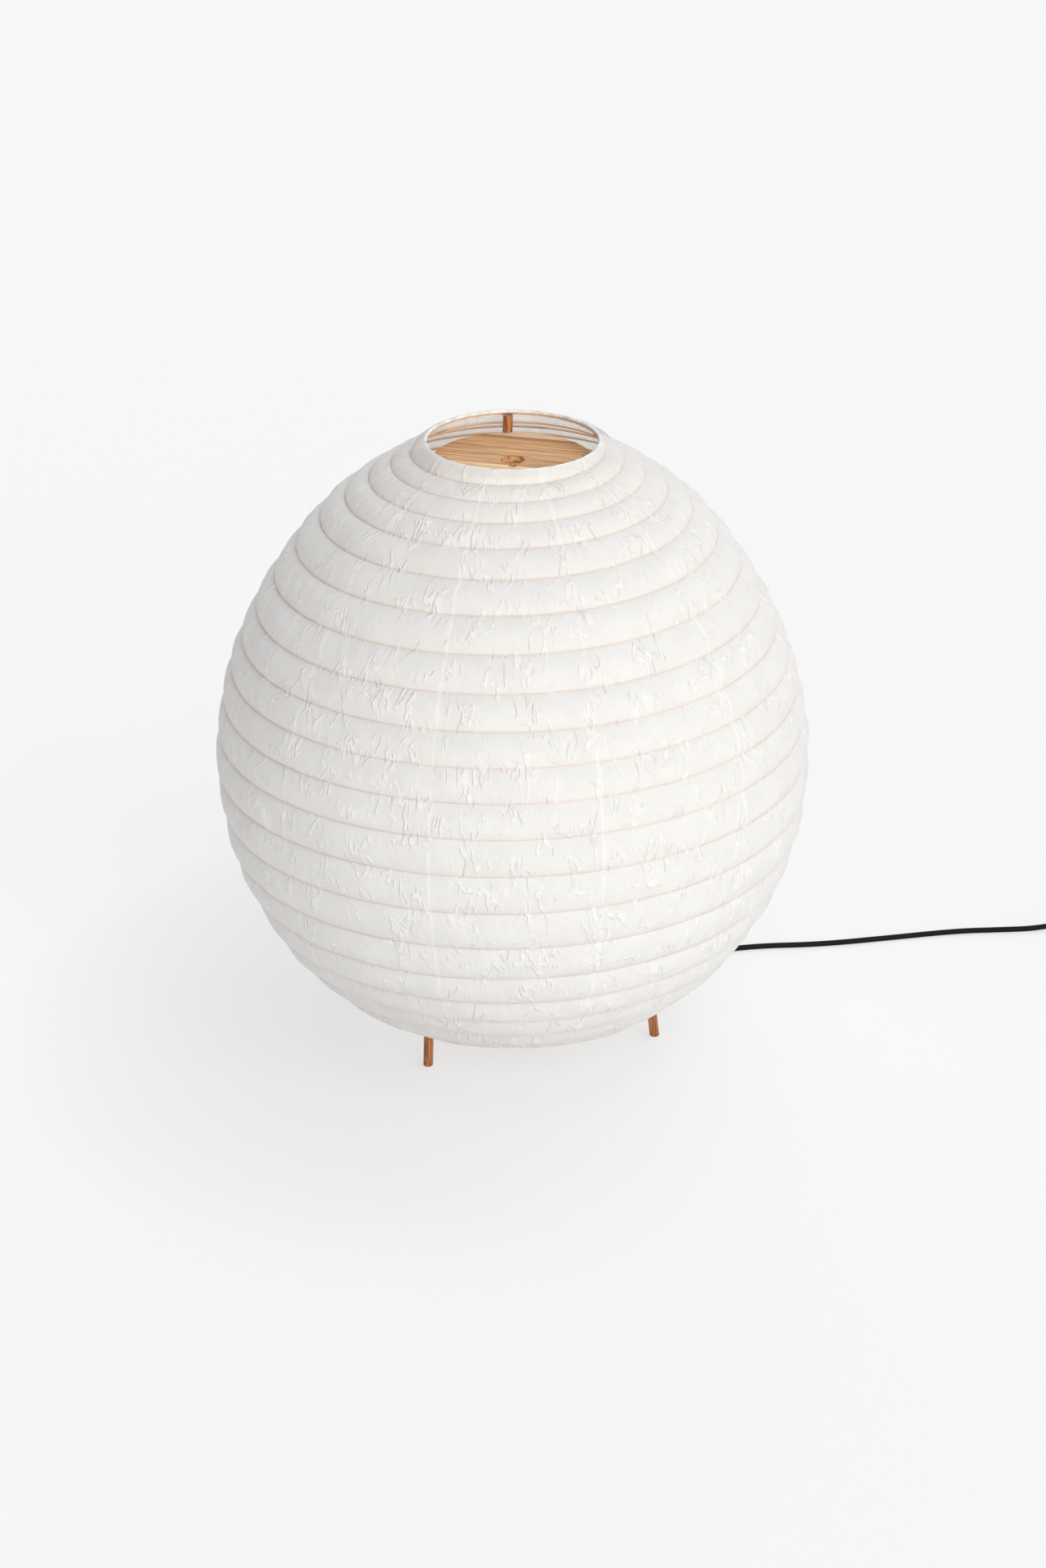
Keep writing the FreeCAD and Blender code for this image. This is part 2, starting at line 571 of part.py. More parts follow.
def switch_parts():
    """The rocker switch on the flex: two half shells and the rocker that tilts in the upper one."""
    lower = tapered_plate(SWITCH_FOOT, ENTRY - SWITCH_FOOT)
    lower = lower.makeChamfer(SWITCH_EDGE, edges_at(lower, SWITCH_FOOT))
    upper = tapered_plate(ENTRY, SWITCH_HEIGHT - ENTRY)
    upper = upper.makeChamfer(SWITCH_EDGE, edges_at(upper, SWITCH_HEIGHT))
    pivot = V(0, 0, PIVOT_HEIGHT)
    across = V(0, 1, 0)
    width = ROCKER_WIDTH + 2 * ROCKER_GAP
    well = Part.makeCylinder(ROCKER_RADIUS + ROCKER_GAP, width, pivot - across * (width / 2), across)
    width = ROCKER_WIDTH + 2 * PIVOT_LENGTH + 2 * ROCKER_GAP
    bearing = Part.makeCylinder(PIVOT_RADIUS + 0.1, width, pivot - across * (width / 2), across)
    rocker = Part.makeCylinder(ROCKER_RADIUS, ROCKER_WIDTH, pivot - across * (ROCKER_WIDTH / 2), across)
    # the top has two flats that rise from the middle, and is tilted so that one lies level
    slope = math.tan(math.radians(ROCKER_TILT))
    reach, low = 2 * ROCKER_RADIUS, SWITCH_HEIGHT - PIVOT_HEIGHT
    face = Part.Face(Part.makePolygon(closed([
        V(0, -reach, low), V(reach, -reach, low + reach * slope), V(reach, -reach, -3.5),
        V(-reach, -reach, -3.5), V(-reach, -reach, low + reach * slope)])))
    face.translate(pivot)
    rocker = rocker.common(face.extrude(across * (2 * reach)))
    width = ROCKER_WIDTH + 2 * PIVOT_LENGTH
    rocker = rocker.fuse(Part.makeCylinder(PIVOT_RADIUS, width, pivot - across * (width / 2), across))
    rocker.rotate(pivot, across, ROCKER_TILT)
    parts = {"switch_lower_shell": lower.cut(well),
             "switch_upper_shell": upper.cut(well.fuse(bearing)),
             "switch_rocker": rocker}
    return {name: placed(shape, SWITCH_AT, SWITCH_HEADING) for name, shape in parts.items()}


def edges_at(shape, height):
    return [e for e in shape.Edges if e.BoundBox.ZLength < 0.01 and abs(e.BoundBox.ZMin - height) < 0.01]


def plug_parts(back):
    """A flat two-pin plug that lies on the floor, from where the flex enters its back."""
    half, depth = PLUG_WIDTH / 2, PLUG_LENGTH
    plan = [V(0, -5, 0), V(7, -6.5, 0), V(18, -half, 0), V(depth, -half, 0),
            V(depth, half, 0), V(18, half, 0), V(7, 6.5, 0), V(0, 5, 0)]
    body = Part.Face(Part.makePolygon(closed(plan))).extrude(UP * PLUG_THICKNESS)
    body.translate(V(0, 0, -PLUG_THICKNESS / 2))
    body = body.makeChamfer(2.0, [e for e in body.Edges if e.BoundBox.ZLength < 0.01
                                  and e.BoundBox.XMin < depth - 0.1])
    pins = []
    for side in (-1, 1):
        pin = turned([(0, 0), (PIN_RADIUS, 0), (PIN_RADIUS, PIN_LENGTH - 1.2),
                      (PIN_RADIUS - 1, PIN_LENGTH), (0, PIN_LENGTH)], 16)
        pin.rotate(V(0, 0, 0), V(0, 1, 0), 90)
        pin.translate(V(depth, side * PIN_SPACING / 2, 0))
        pins.append(pin)
    return {"plug_body": placed(body, back, PLUG_HEADING),
            "plug_pins": placed(Part.makeCompound(pins), back, PLUG_HEADING)}


def flex_parts(grip_end):
    """The flex from the grip to the plug, with what is on it."""
    parts = switch_parts()
    along = polar(1, SWITCH_HEADING)
    enter = SWITCH_AT - along * (SWITCH_LENGTH / 2) + UP * ENTRY
    leave = SWITCH_AT + along * (SWITCH_LENGTH / 2) + UP * ENTRY
    spare, coil_start, coil_end = coil()
    parts["flex_to_switch"] = flex(
        [grip_end, grip_end - UP * 52] + ROUTE_TO_SWITCH + [enter - along * 26, enter], "flex to switch")
    parts["flex_to_coil"] = flex(
        [leave, leave + along * 26, coil_start - coil_heading(0) * 24, coil_start], "flex to coil")
    parts["flex_coil"] = spare
    parts["coil_strap"] = strap()
    bend = coil_end + coil_heading(COIL_TURNS_IN + COIL_TURNS_OUT) * 20
    turned_in = V(bend.x - 10.6, bend.y - 24, PLUG_AXIS_HEIGHT)
    back = turned_in + polar(25, PLUG_HEADING)
    parts["flex_to_plug"] = flex([coil_end, bend, turned_in, back], "flex to plug")
    parts.update(plug_parts(back))
    return parts


# ---- the whole lamp ------------------------------------------------------------------------

def build():
    parts = shade_parts()
    parts.update(frame_parts())
    held, grip_end = holder_parts()
    parts.update(held)
    parts.update(flex_parts(grip_end))
    return parts


os.makedirs("parts", exist_ok=True)
for node, shape in build().items():
    shape.exportStep("parts/" + node + ".step")
    print(node, round(shape.Volume, 1))
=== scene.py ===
# %% [markdown]
# # A paper lantern that stands on the floor
#
# The object is a tall egg of mulberry paper over one spiral strip of bamboo. Inside it a light
# stand of three dowels and two wooden discs carries a tubular lamp, and a black flex runs out
# over the floor. The CAD model gives every size, so this lesson loads it first as a fixed frame
# and dresses it piece by piece. Pieces whose CAD shape is already right only get a material.
# Thin or soft pieces, such as the paper and the flex, are built again here with more shape.

import bisect
import math

import bpy
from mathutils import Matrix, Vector, noise


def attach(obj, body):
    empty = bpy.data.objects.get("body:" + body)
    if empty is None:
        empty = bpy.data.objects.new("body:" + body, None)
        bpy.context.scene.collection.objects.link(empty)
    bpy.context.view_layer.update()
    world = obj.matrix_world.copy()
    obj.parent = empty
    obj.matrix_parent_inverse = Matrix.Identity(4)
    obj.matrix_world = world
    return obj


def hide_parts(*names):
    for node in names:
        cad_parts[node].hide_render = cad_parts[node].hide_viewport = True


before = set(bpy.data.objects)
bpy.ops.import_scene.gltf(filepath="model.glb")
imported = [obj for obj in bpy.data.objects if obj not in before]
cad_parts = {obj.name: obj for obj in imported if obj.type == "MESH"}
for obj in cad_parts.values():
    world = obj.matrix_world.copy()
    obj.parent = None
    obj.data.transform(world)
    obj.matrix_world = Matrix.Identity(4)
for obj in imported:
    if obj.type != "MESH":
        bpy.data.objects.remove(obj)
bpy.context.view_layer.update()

MM = 0.001


def polar(radius, degrees, height=0.0):
    """A point round the lantern's axis, in millimetres."""
    angle = math.radians(degrees)
    return Vector((radius * math.cos(angle), radius * math.sin(angle), height))


# %% [markdown]
# ## Camera
#
# The photograph was taken from the front and a little above, with a long lens: the rings of the
# shade stay nearly alike from top to bottom. The place, tilt and focal length come from fitting
# the outline of the shade and the ellipses of its rim. A long lens far away is chosen over a
# short one near by, because only the long one gives both the outline and the open rim.

# %% Camera
PHOTO_HEIGHT_PX = 1913
FOCAL_PX = 5589.25
camera_data = bpy.data.cameras.new("studio_camera")
camera_data.sensor_width = 36.0
camera_data.lens = FOCAL_PX / PHOTO_HEIGHT_PX * camera_data.sensor_width
camera = bpy.data.objects.new("studio_camera", camera_data)
camera.location = (0.0, -4.32095, 2.20897)
camera.rotation_euler = (math.radians(90 - 24.094), 0.0, math.radians(-0.14))
bpy.context.collection.objects.link(camera)
bpy.context.scene.camera = camera
print("lens", round(camera_data.lens, 2), "mm")

# %% [markdown]
# ## Colour and node helpers
#
# Colours are written as sRGB hex values, the way a colour picker shows them, and one function
# turns them to the linear numbers that Blender wants. Every material below is a small graph of
# nodes. One function adds any node, and the short ones after it add the kinds that come up again
# and again. Each gives back a socket, so that a graph reads like a formula.

# %% Helpers for colours and nodes


def srgb(hex_value):
    """#RRGGBB as linear red, green, blue and alpha."""
    parts = [int(hex_value[i:i + 2], 16) / 255 for i in (1, 3, 5)]
    return tuple(p / 12.92 if p <= 0.04045 else ((p + 0.055) / 1.055) ** 2.4 for p in parts) + (1.0,)


def node(tree, kind, values=None, output=0):
    """Adds a node and gives one of its output sockets.

    Each value belongs to a property or an input. It is a number, a hex colour or a socket.
    """
    made = tree.nodes.new("ShaderNode" + kind)
    for name, value in (values or {}).items():
        if isinstance(value, bpy.types.NodeSocket):
            tree.links.new(value, made.inputs[name])
        elif isinstance(name, str) and hasattr(made, name):
            setattr(made, name, value)
        else:
            made.inputs[name].default_value = srgb(value) if isinstance(value, str) else value
    return made.outputs[output] if len(made.outputs) else None


def noise_at(tree, place, scale, detail, **more):
    """Noise with so many spots to a metre of the place."""
    return node(tree, "TexNoise", {"Vector": place, "Scale": scale, "Detail": detail, **more}, "Fac")


def waves(tree, place, direction, length, **more):
    """Straight waves of a length in metres, across X or Y."""
    scale = 0.5 * math.pi / length / 5           # at scale 1 the texture has 20 radians to a metre
    return node(tree, "TexWave", {"wave_type": "BANDS", "bands_direction": direction, "Scale": scale,
                                  "Vector": place, **more}, "Fac")


def stretched(tree, place, scale):
    return node(tree, "Mapping", {"Vector": place, "Scale": scale})


def mapped(tree, value, start, end, low=0.0, high=1.0, smooth=False):
    """The value, moved from the range start to end into the range low to high."""
    kind = "SMOOTHSTEP" if smooth else "LINEAR"
    return node(tree, "MapRange", {"interpolation_type": kind, "Value": value, "From Min": start,
                                   "From Max": end, "To Min": low, "To Max": high})


def maths(tree, operation, *values):
    return node(tree, "Math", {"operation": operation, **dict(enumerate(values))})


def mixed(tree, share, first, second, blend="MIX"):
    """The first colour, with a share of the second on it."""
    return node(tree, "MixRGB", {"blend_type": blend, "Fac": share, "Color1": first, "Color2": second})


def ramp(tree, value, low, high):
    """A colour between two stops, each given as (position, hex colour)."""
    colour = node(tree, "ValToRGB", {"Fac": value})
    for stop, (position, tone) in zip(colour.node.color_ramp.elements, (low, high)):
        stop.position, stop.color = position, srgb(tone)
    return colour


def bump(tree, height, strength, distance, **more):
    """Relief with a height in metres; Normal is the relief that it lies on."""
    return node(tree, "Bump", {"Height": height, "Strength": strength, "Distance": distance, **more})


def new_material(name):
    """A material with an empty graph."""
    material = bpy.data.materials.new(name)
    material.use_nodes = True
    material.node_tree.nodes.clear()
    return material, material.node_tree


def finished(material, shader):
    """The material, with the shader joined to its output."""
    node(material.node_tree, "OutputMaterial", {"Surface": shader})
    return material


bpy.context.scene.view_settings.view_transform = "Standard"
print("view transform Standard")

# %% [markdown]
# ## Floor and light
#
# The studio is one pale sheet that fills the picture, with a soft light from the front right and
# above, so the left side of the shade falls into a cool grey. A broad sun lamp gives that soft
# light evenly over the whole egg, a weaker one behind shines through the paper, and a pale world
# fills the shadows. The floor gives a part of its paleness as its own light, to the camera, to
# mirror rays and to rays through glass only. So it is near white with no more light on the object,
# and the rest of it still takes the shadow. A studio has many soft sources on the right, so an
# Ambient Occlusion node, leaned to that side, dims the glow where the object covers them.

# %% Floor
FLOOR_PALE = "#F7F7F7"
FLOOR_GLOW_SHARE = 0.80
FLOOR_GLOW = 0.985
SOFT_SOURCES = (0.84, -0.10, 0.53)       # the direction of the soft sources
COVER_REACH = 0.33                       # metres
COVER_DEPTH = 0.29
FLOOR_HALF = 30000.0                     # millimetres from the middle to a side


def floor_material():
    material, tree = new_material("matt_studio_paper")
    rays = node(tree, "LightPath").node.outputs
    seen = maths(tree, "MAXIMUM", rays["Is Camera Ray"], rays["Is Glossy Ray"])
    seen = maths(tree, "MAXIMUM", seen, rays["Is Transmission Ray"])
    share = maths(tree, "MULTIPLY", seen, FLOOR_GLOW_SHARE)
    matt = node(tree, "BsdfDiffuse", {"Color": FLOOR_PALE})
    leaned = node(tree, "CombineXYZ", dict(zip("XYZ", SOFT_SOURCES)))
    cover = node(tree, "AmbientOcclusion", {"samples": 4, "Distance": COVER_REACH, "Normal": leaned}, "AO")
    dimmed = mapped(tree, cover, 0.0, 1.0, FLOOR_GLOW * (1 - COVER_DEPTH), FLOOR_GLOW)
    glow = node(tree, "Emission", {"Color": FLOOR_PALE, "Strength": dimmed})
    return finished(material, node(tree, "MixShader", {"Fac": share, 1: matt, 2: glow}))


def mesh_object(name, points, faces, material, body=None, sharp_degrees=None):
    """An object from points in millimetres and faces, riding on a body where one is named."""
    mesh = bpy.data.meshes.new(name)
    mesh.from_pydata([Vector(p) * MM for p in points], [], faces)
    mesh.polygons.foreach_set("use_smooth", [True] * len(mesh.polygons))
    if sharp_degrees:
        mesh.set_sharp_from_angle(angle=math.radians(sharp_degrees))
    mesh.materials.append(material)
    made = bpy.data.objects.new(name, mesh)
    bpy.context.collection.objects.link(made)
    if body:
        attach(made, body)
    return made


corners = [(x * FLOOR_HALF, y * FLOOR_HALF, 0) for x, y in ((-1, -1), (1, -1), (1, 1), (-1, 1))]
floor = mesh_object("studio_floor", corners, [(0, 1, 2, 3)], floor_material())
print("floor", floor.dimensions.x, "m wide")

# %% Lights
WORLD_STRENGTH = 0.33
SUN_FROM = Vector((0.45, -0.93, 0.54))       # from the object towards the lamp
BACK_FROM = Vector((0.25, 0.82, 0.60))

world = bpy.data.worlds.new("studio")
world.use_nodes = True
world.node_tree.nodes.clear()
sky = node(world.node_tree, "Background", {"Color": "#F1F6FF", "Strength": WORLD_STRENGTH})
node(world.node_tree, "OutputWorld", {"Surface": sky})
bpy.context.scene.world = world


def sun_lamp(name, comes_from, strength, width_degrees, colour):
    """A sun lamp; the wider it is, the softer its shadows are."""
    data = bpy.data.lights.new(name, "SUN")
    data.energy = strength
    data.angle = math.radians(width_degrees)
    data.color = srgb(colour)[:3]
    lamp = bpy.data.objects.new(name, data)
    lamp.rotation_euler = comes_from.to_track_quat("Z", "Y").to_euler()
    bpy.context.collection.objects.link(lamp)


sun_lamp("soft_key", SUN_FROM, 2.97, 62, "#FFFDF8")
sun_lamp("soft_back", BACK_FROM, 1.90, 80, "#FAFCFF")
print("sun comes down at", round(math.degrees(math.asin(SUN_FROM.normalized().z))), "degrees")

# %% [markdown]
# ## The flex
#
# A round mains flex has a black PVC sheath, extruded and so smooth, with a soft gloss. It is one
# fixed length that hangs from the lampholder and then lies on the floor. The line is a NURBS
# curve through the route's control points, because such a curve bends gently everywhere, like
# the stiff sheath does. A round bevel gives it its 6 mm. It goes through the switch, so there
# are two pieces, and the spare length lies in a strapped coil with the plug beside it.

# %% PVC sheath


def pvc_sheath():
    """Extruded PVC: dark, nearly even, with faint scuffs and a fine skin that break its gloss."""
    material, tree = new_material("black_pvc_sheath")
    place = node(tree, "TexCoord", output="Object")
    scuffs = noise_at(tree, place, 120.0, 4.0)       # about 8 mm, from lying on floors
    return finished(material, node(tree, "BsdfPrincipled", {
        "IOR": 1.53, "Specular IOR Level": 0.12,
        "Base Color": ramp(tree, scuffs, (0.35, "#050506"), (0.75, "#0C0C0D")),
        "Roughness": mapped(tree, scuffs, 0.3, 0.7, 0.45, 0.62),
        "Normal": bump(tree, noise_at(tree, place, 900.0, 2.0), 0.15, 0.0001)}))


FLEX_SHEATH = pvc_sheath()

# %% Two cords along the CAD routes
FLEX_DIAMETER = 6.0
ON_FLOOR = 3.3       # the height of the flex's middle where it lies on the floor


def cord_object(name, points):
    """A NURBS curve with a round bevel, its control points in millimetres."""
    curve = bpy.data.curves.new(name, "CURVE")
    curve.dimensions = "3D"
    curve.bevel_depth = FLEX_DIAMETER / 2 * MM
    curve.bevel_resolution = 4
    curve.resolution_u = 10
    curve.use_fill_caps = True
    spline = curve.splines.new("NURBS")
    spline.points.add(len(points) - 1)
    for point, place in zip(spline.points, points):
        point.co = tuple(Vector(place) * MM) + (1.0,)
    spline.order_u = 3
    spline.use_endpoint_u = True
    curve.materials.append(FLEX_SHEATH)
    made = bpy.data.objects.new(name, curve)
    bpy.context.collection.objects.link(made)
    return made


LAMP_AXIS = Vector((7.686, 4.192, 0.0))
lamp_flex = cord_object("flex_to_the_switch", [
    (7.686, 4.192, 156), (7.686, 4.192, 104), (10, 6, 54), (25, 16, 18),
    (60, 42, ON_FLOOR), (106, 82, ON_FLOOR), (150, 122, ON_FLOOR), (204, 160, ON_FLOOR),
    (262, 177, ON_FLOOR), (336, 181, ON_FLOOR), (412, 197, ON_FLOOR), (488, 214, ON_FLOOR),
    (536, 217, ON_FLOOR), (578, 220.5, ON_FLOOR), (619.22, 226.03, 10), (645.12, 228.30, 10)])

COIL_CENTRE = Vector((800.0, 206.0, 0.0))
COIL_INNER, COIL_STEP, COIL_REST, COIL_TURNS = 32.7, 6.6, 4.2, 2.25
POINTS_PER_TURN = 24     # a curve's control points lie outside its bends, so many keep the size


def coil_point(turns):
    """The spare flex winds in on the floor for a turn and out again on top of it."""
    radius = COIL_INNER + COIL_STEP * abs(1.0 - turns)
    climb = min(max((turns - 0.75) / 0.5, 0.0), 1.0)
    climb = climb * climb * (3 - 2 * climb)
    return COIL_CENTRE + polar(radius, 90 - 360 * turns, COIL_REST + COIL_STEP * climb)


coil_steps = round(COIL_TURNS * POINTS_PER_TURN)
turn_points = [coil_point(COIL_TURNS * i / coil_steps) for i in range(coil_steps + 1)]
plug_flex = cord_object("flex_to_the_plug", [
    (706.88, 233.70, 10), (732.78, 235.97, 10), (770, 245.3, 4.2)] + turn_points
    + [(840.95, 180, 10.8), (830.35, 156, 6.95), (812.67, 138.32, 6.95)])
print("control points", len(lamp_flex.data.splines[0].points), len(plug_flex.data.splines[0].points))

for cord in (lamp_flex, plug_flex):
    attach(cord, "frame")
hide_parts("flex_to_switch")
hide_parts("flex_to_coil", "flex_coil", "flex_to_plug")

# %% [markdown]
# ## The outline of the shade
#
# The paper is fixed only along the strip, and the strip follows an egg. The egg is two halves of
# a superellipse, with its widest ring nearer the floor, cut by the hoop at the top and the hoop
# at the mouth. Places on the paper are given as a distance down it, as a maker would measure
# along the strip with a tape. The strip's own spacing is uneven, as hand work is: close at the
# top, wider below, with a slow wander.

# %% Outline and strip
EQUATOR_HEIGHT, EQUATOR_RADIUS = 320.0, 300.0
UPPER_RISE, UPPER_FULLNESS = 345.0, 1.84
LOWER_DROP, LOWER_FULLNESS = 312.0, 2.02
RIM_RADIUS, RIM_HEIGHT = 88.5, 654.0
COLLAR_FOOT_HEIGHT, MOUTH_RADIUS = 641.5, 158.0
TURN_SPACING = 40.7
TOP_SQUEEZE, SQUEEZE_TURNS = 2.29, 5.0        # turns gained near the top, and how fast that fades
WANDER, WANDER_START, WANDER_TURNS = 4.95, 5.95, 8.51     # millimetres, then turns
RIB_START = 174.6                             # degrees
LEAST_BAND = 7.0


def egg_radius(rise):
    reach, fullness = (UPPER_RISE, UPPER_FULLNESS) if rise >= 0 else (LOWER_DROP, LOWER_FULLNESS)
    return EQUATOR_RADIUS * (1 - (abs(rise) / reach) ** fullness) ** (1 / fullness)


def walk_outline(step=0.5):
    """Points (distance, radius, height) down the paper from the top hoop."""
    points = [(0.0, RIM_RADIUS, RIM_HEIGHT)]
    rise = COLLAR_FOOT_HEIGHT - EQUATOR_HEIGHT
    while True:
        radius, height = egg_radius(rise), EQUATOR_HEIGHT + rise
        distance, last_radius, last_height = points[-1]
        points.append((distance + math.hypot(radius - last_radius, height - last_height), radius, height))
        if rise < 0 and radius <= MOUTH_RADIUS:
            return points
        slope = (egg_radius(rise - 0.01) - radius) / 0.01
        rise -= step / math.hypot(1, slope)


OUTLINE = walk_outline()
DISTANCES = [point[0] for point in OUTLINE]
PAPER_LENGTH = DISTANCES[-1]
MOUTH_HEIGHT = OUTLINE[-1][2]


def on_outline(distance, inset=0.0):
    """Radius and height at a distance down the paper, moved inward by inset."""
    index = min(max(bisect.bisect_left(DISTANCES, distance - 1e-9), 1), len(OUTLINE) - 1)
    (d0, r0, z0), (d1, r1, z1) = OUTLINE[index - 1:index + 1]
    share = (distance - d0) / (d1 - d0)
    dr, dz = (r1 - r0) / (d1 - d0), (z1 - z0) / (d1 - d0)
    return r0 + share * (r1 - r0) + dz * inset, z0 + share * (z1 - z0) - dr * inset


def rib_distance(turns):
    """How far down the paper the strip is after so many turns."""
    wave = math.sin(2 * math.pi * (turns - WANDER_START) / WANDER_TURNS)
    wave += math.sin(2 * math.pi * WANDER_START / WANDER_TURNS)
    squeezed = turns - TOP_SQUEEZE * (1 - math.exp(-turns / SQUEEZE_TURNS))
    return TURN_SPACING * squeezed + WANDER * wave


print("paper", round(PAPER_LENGTH, 1), "mm from hoop to hoop, mouth at", round(MOUTH_HEIGHT, 1))

# %% [markdown]
# ## Mulberry paper
#
# The paper is handmade kozo: long mulberry fibres, felted and dried on a board. That gives the
# eye a matt, slightly warm white that lets light through, fine threads in it, and short sharp
# creases where it was pasted damp and shrank. Light goes through it, so a Translucent shader is
# mixed in. Drawings lie on top of the colour. Painted shade greys the top of each band and draws
# a thin line in each fold. A painted glow of light through the paper warms each band's foot and
# shows the strip behind as a peach line. The doubled paper of each seam is whiter, and the
# creases get a painted highlight. The mesh carries the distances to the nearest strip and seam
# in millimetres, so the lines are as wide as real ones.

# %% Paper material
RIB_WIDTH = 3.2
SEAM_LAP = 4.5


def kozo_paper():
    material, tree = new_material("kozo_paper")
    cut = node(tree, "UVMap", {"uv_map": "cut"})
    from_rib, from_seam, band_side = (node(tree, "Attribute", {"attribute_name": name}, "Fac")
                                      for name in ("from_rib", "from_seam", "band_side"))

    # cloudy pulp, in patches of about 40 mm
    cloud = noise_at(tree, cut, 25.0, 5.0, Roughness=0.6)
    pulp = ramp(tree, cloud, (0.30, "#F4F4F4"), (0.70, "#FAFAFA"))

    # painted shade makes the top of each band a little greyer, and a painted glow of the light
    # through the paper makes its foot a little warmer
    painted_band_shade = mixed(tree, mapped(tree, band_side, -1.0, 1.0), "#FEFEFB", "#FAFCFC")
    paper = mixed(tree, 0.8, pulp, painted_band_shade, "MULTIPLY")

    # painted glow: the light through the paper, tinted peach by the strip behind it, with an edge
    # that wavers by half a millimetre; and painted shade: a thin darker line in the fold itself
    waver = mapped(tree, noise_at(tree, cut, 160.0, 2.0), 0.3, 0.7, -0.6, 0.6)
    painted_strip_glow = mapped(tree, maths(tree, "ADD", from_rib, waver), 2.4, 0.8, 0.0, 0.14, smooth=True)
    with_strip_glow = mixed(tree, painted_strip_glow, paper, "#FBE6D8")
    painted_fold_shade = mapped(tree, from_rib, 0.8, 0.1, 0.0, 0.24, smooth=True)
    with_fold_shade = mixed(tree, painted_fold_shade, with_strip_glow, "#CDC6C0")

    # the lap of two gores: a whiter line that wanders as the cut edge does, and fades in places
    stray = mapped(tree, noise_at(tree, cut, 45.0, 3.0), 0.3, 0.7, -1.6, 1.6)
    lap_place = maths(tree, "ADD", from_seam, stray)
    lap = mapped(tree, lap_place, SEAM_LAP * 0.55, SEAM_LAP * 0.2, smooth=True)
    shown = mapped(tree, noise_at(tree, cut, 14.0, 3.0), 0.35, 0.65, 0.25, 1.0)
    lap = maths(tree, "MULTIPLY", lap, shown)
    lapped = mixed(tree, lap, with_fold_shade, "#FFFFFE")

    # creases: where a stretched noise crosses its middle value it draws thin worm-like ridges,
    # about 13 mm apart across the gore and longer down it, and only in patches; their ridges are
    # whitened as a painted highlight
    worms = noise_at(tree, stretched(tree, cut, (75.0, 32.0, 1.0)), 1.0, 2.0, Roughness=0.55, Distortion=0.4)
    from_middle = maths(tree, "ABSOLUTE", maths(tree, "SUBTRACT", worms, 0.5))
    ridge = mapped(tree, from_middle, 0.065, 0.0, smooth=True)
    patches = noise_at(tree, cut, 30.0, 3.0, Roughness=0.6)
    crease = maths(tree, "MULTIPLY", ridge, mapped(tree, patches, 0.45, 0.58, smooth=True))
    with_crease_highlight = mixed(tree, crease, lapped, "#FFFFFF")

    # soft cockles of about 12 by 22 mm, and the felted fibres of about 1 mm, drawn coarser than
    # real ones, which are too fine to show
    cockle = noise_at(tree, stretched(tree, cut, (85.0, 45.0, 1.0)), 1.0, 3.0)
    fibres = noise_at(tree, cut, 800.0, 3.0, Distortion=1.2)

    relief = bump(tree, cockle, 1.0, 0.0012)
    relief = bump(tree, crease, 1.0, 0.0009, Normal=relief)
    relief = bump(tree, lap, 0.8, 0.0003, Normal=relief)
    relief = bump(tree, fibres, 0.25, 0.00015, Normal=relief)

    sheet = node(tree, "BsdfPrincipled", {"Roughness": 0.85, "IOR": 1.5, "Specular IOR Level": 0.3,
                                          "Base Color": with_crease_highlight, "Normal": relief})
    through = node(tree, "BsdfTranslucent", {"Color": with_crease_highlight, "Normal": relief})
    return finished(material, node(tree, "MixShader", {"Fac": 0.45, 1: sheet, 2: through}))


PAPER = kozo_paper()
print("paper nodes", len(PAPER.node_tree.nodes))

# %% [markdown]
# ## The eleven gores
#
# Each gore is a long leaf of paper from hoop to hoop, pasted over the strip and lapped on its
# neighbour. Between two turns of the strip the damp paper was pushed out a little and dried as a
# soft roll, and this makes the stepped outline. The leaf is a grid whose rows fall exactly on
# the turns of the strip, with eleven rows to a band that crowd towards the valleys, so each
# valley is sharp and each roll nearly flat. Cloth simulation was not used, because dried and
# pasted paper keeps the shape that the maker gave it. The unevenness of the hand is smooth noise
# on the depth of the rolls.

# %% Paper gores
GORES = 11
FIRST_SEAM = 254.2
GORE_ANGLE = 360.0 / GORES
COLUMNS = 36
BAND_SHARES = (0.0, 0.03, 0.08, 0.17, 0.30, 0.45, 0.60, 0.75, 0.86, 0.94, 0.98)
BULGE = 6.0
NO_RIB = 99.0        # millimetres, further than any line on the paper reaches


def gore_turns(start):
    """Which whole turns of the strip cross this gore, added to the turns at its starting edge."""
    at_start = (RIB_START - start) / 360.0 % 1.0
    first = 0
    while rib_distance(at_start - GORE_ANGLE / 360.0 + first) < LEAST_BAND:
        first += 1
    last = first
    while rib_distance(at_start + last + 1) < PAPER_LENGTH - LEAST_BAND:
        last += 1
    return at_start, first, last


def swelling(share, width, place):
    """How far the paper stands off the chord between two turns.

    Noise of about 80 mm changes the depth, and noise of about 22 and 9 mm cockles the paper.
    """
    depth = BULGE * min(1.0, width / TURN_SPACING) * (1 + 0.45 * noise.noise(place * 0.013))
    profile = math.sin(math.pi * share ** 1.1) ** 0.70        # fullest a little below the middle
    cockles = 0.75 * noise.noise(place * 0.045) + 0.35 * noise.noise(place * 0.11)
    return depth * profile + cockles * math.sin(math.pi * share)


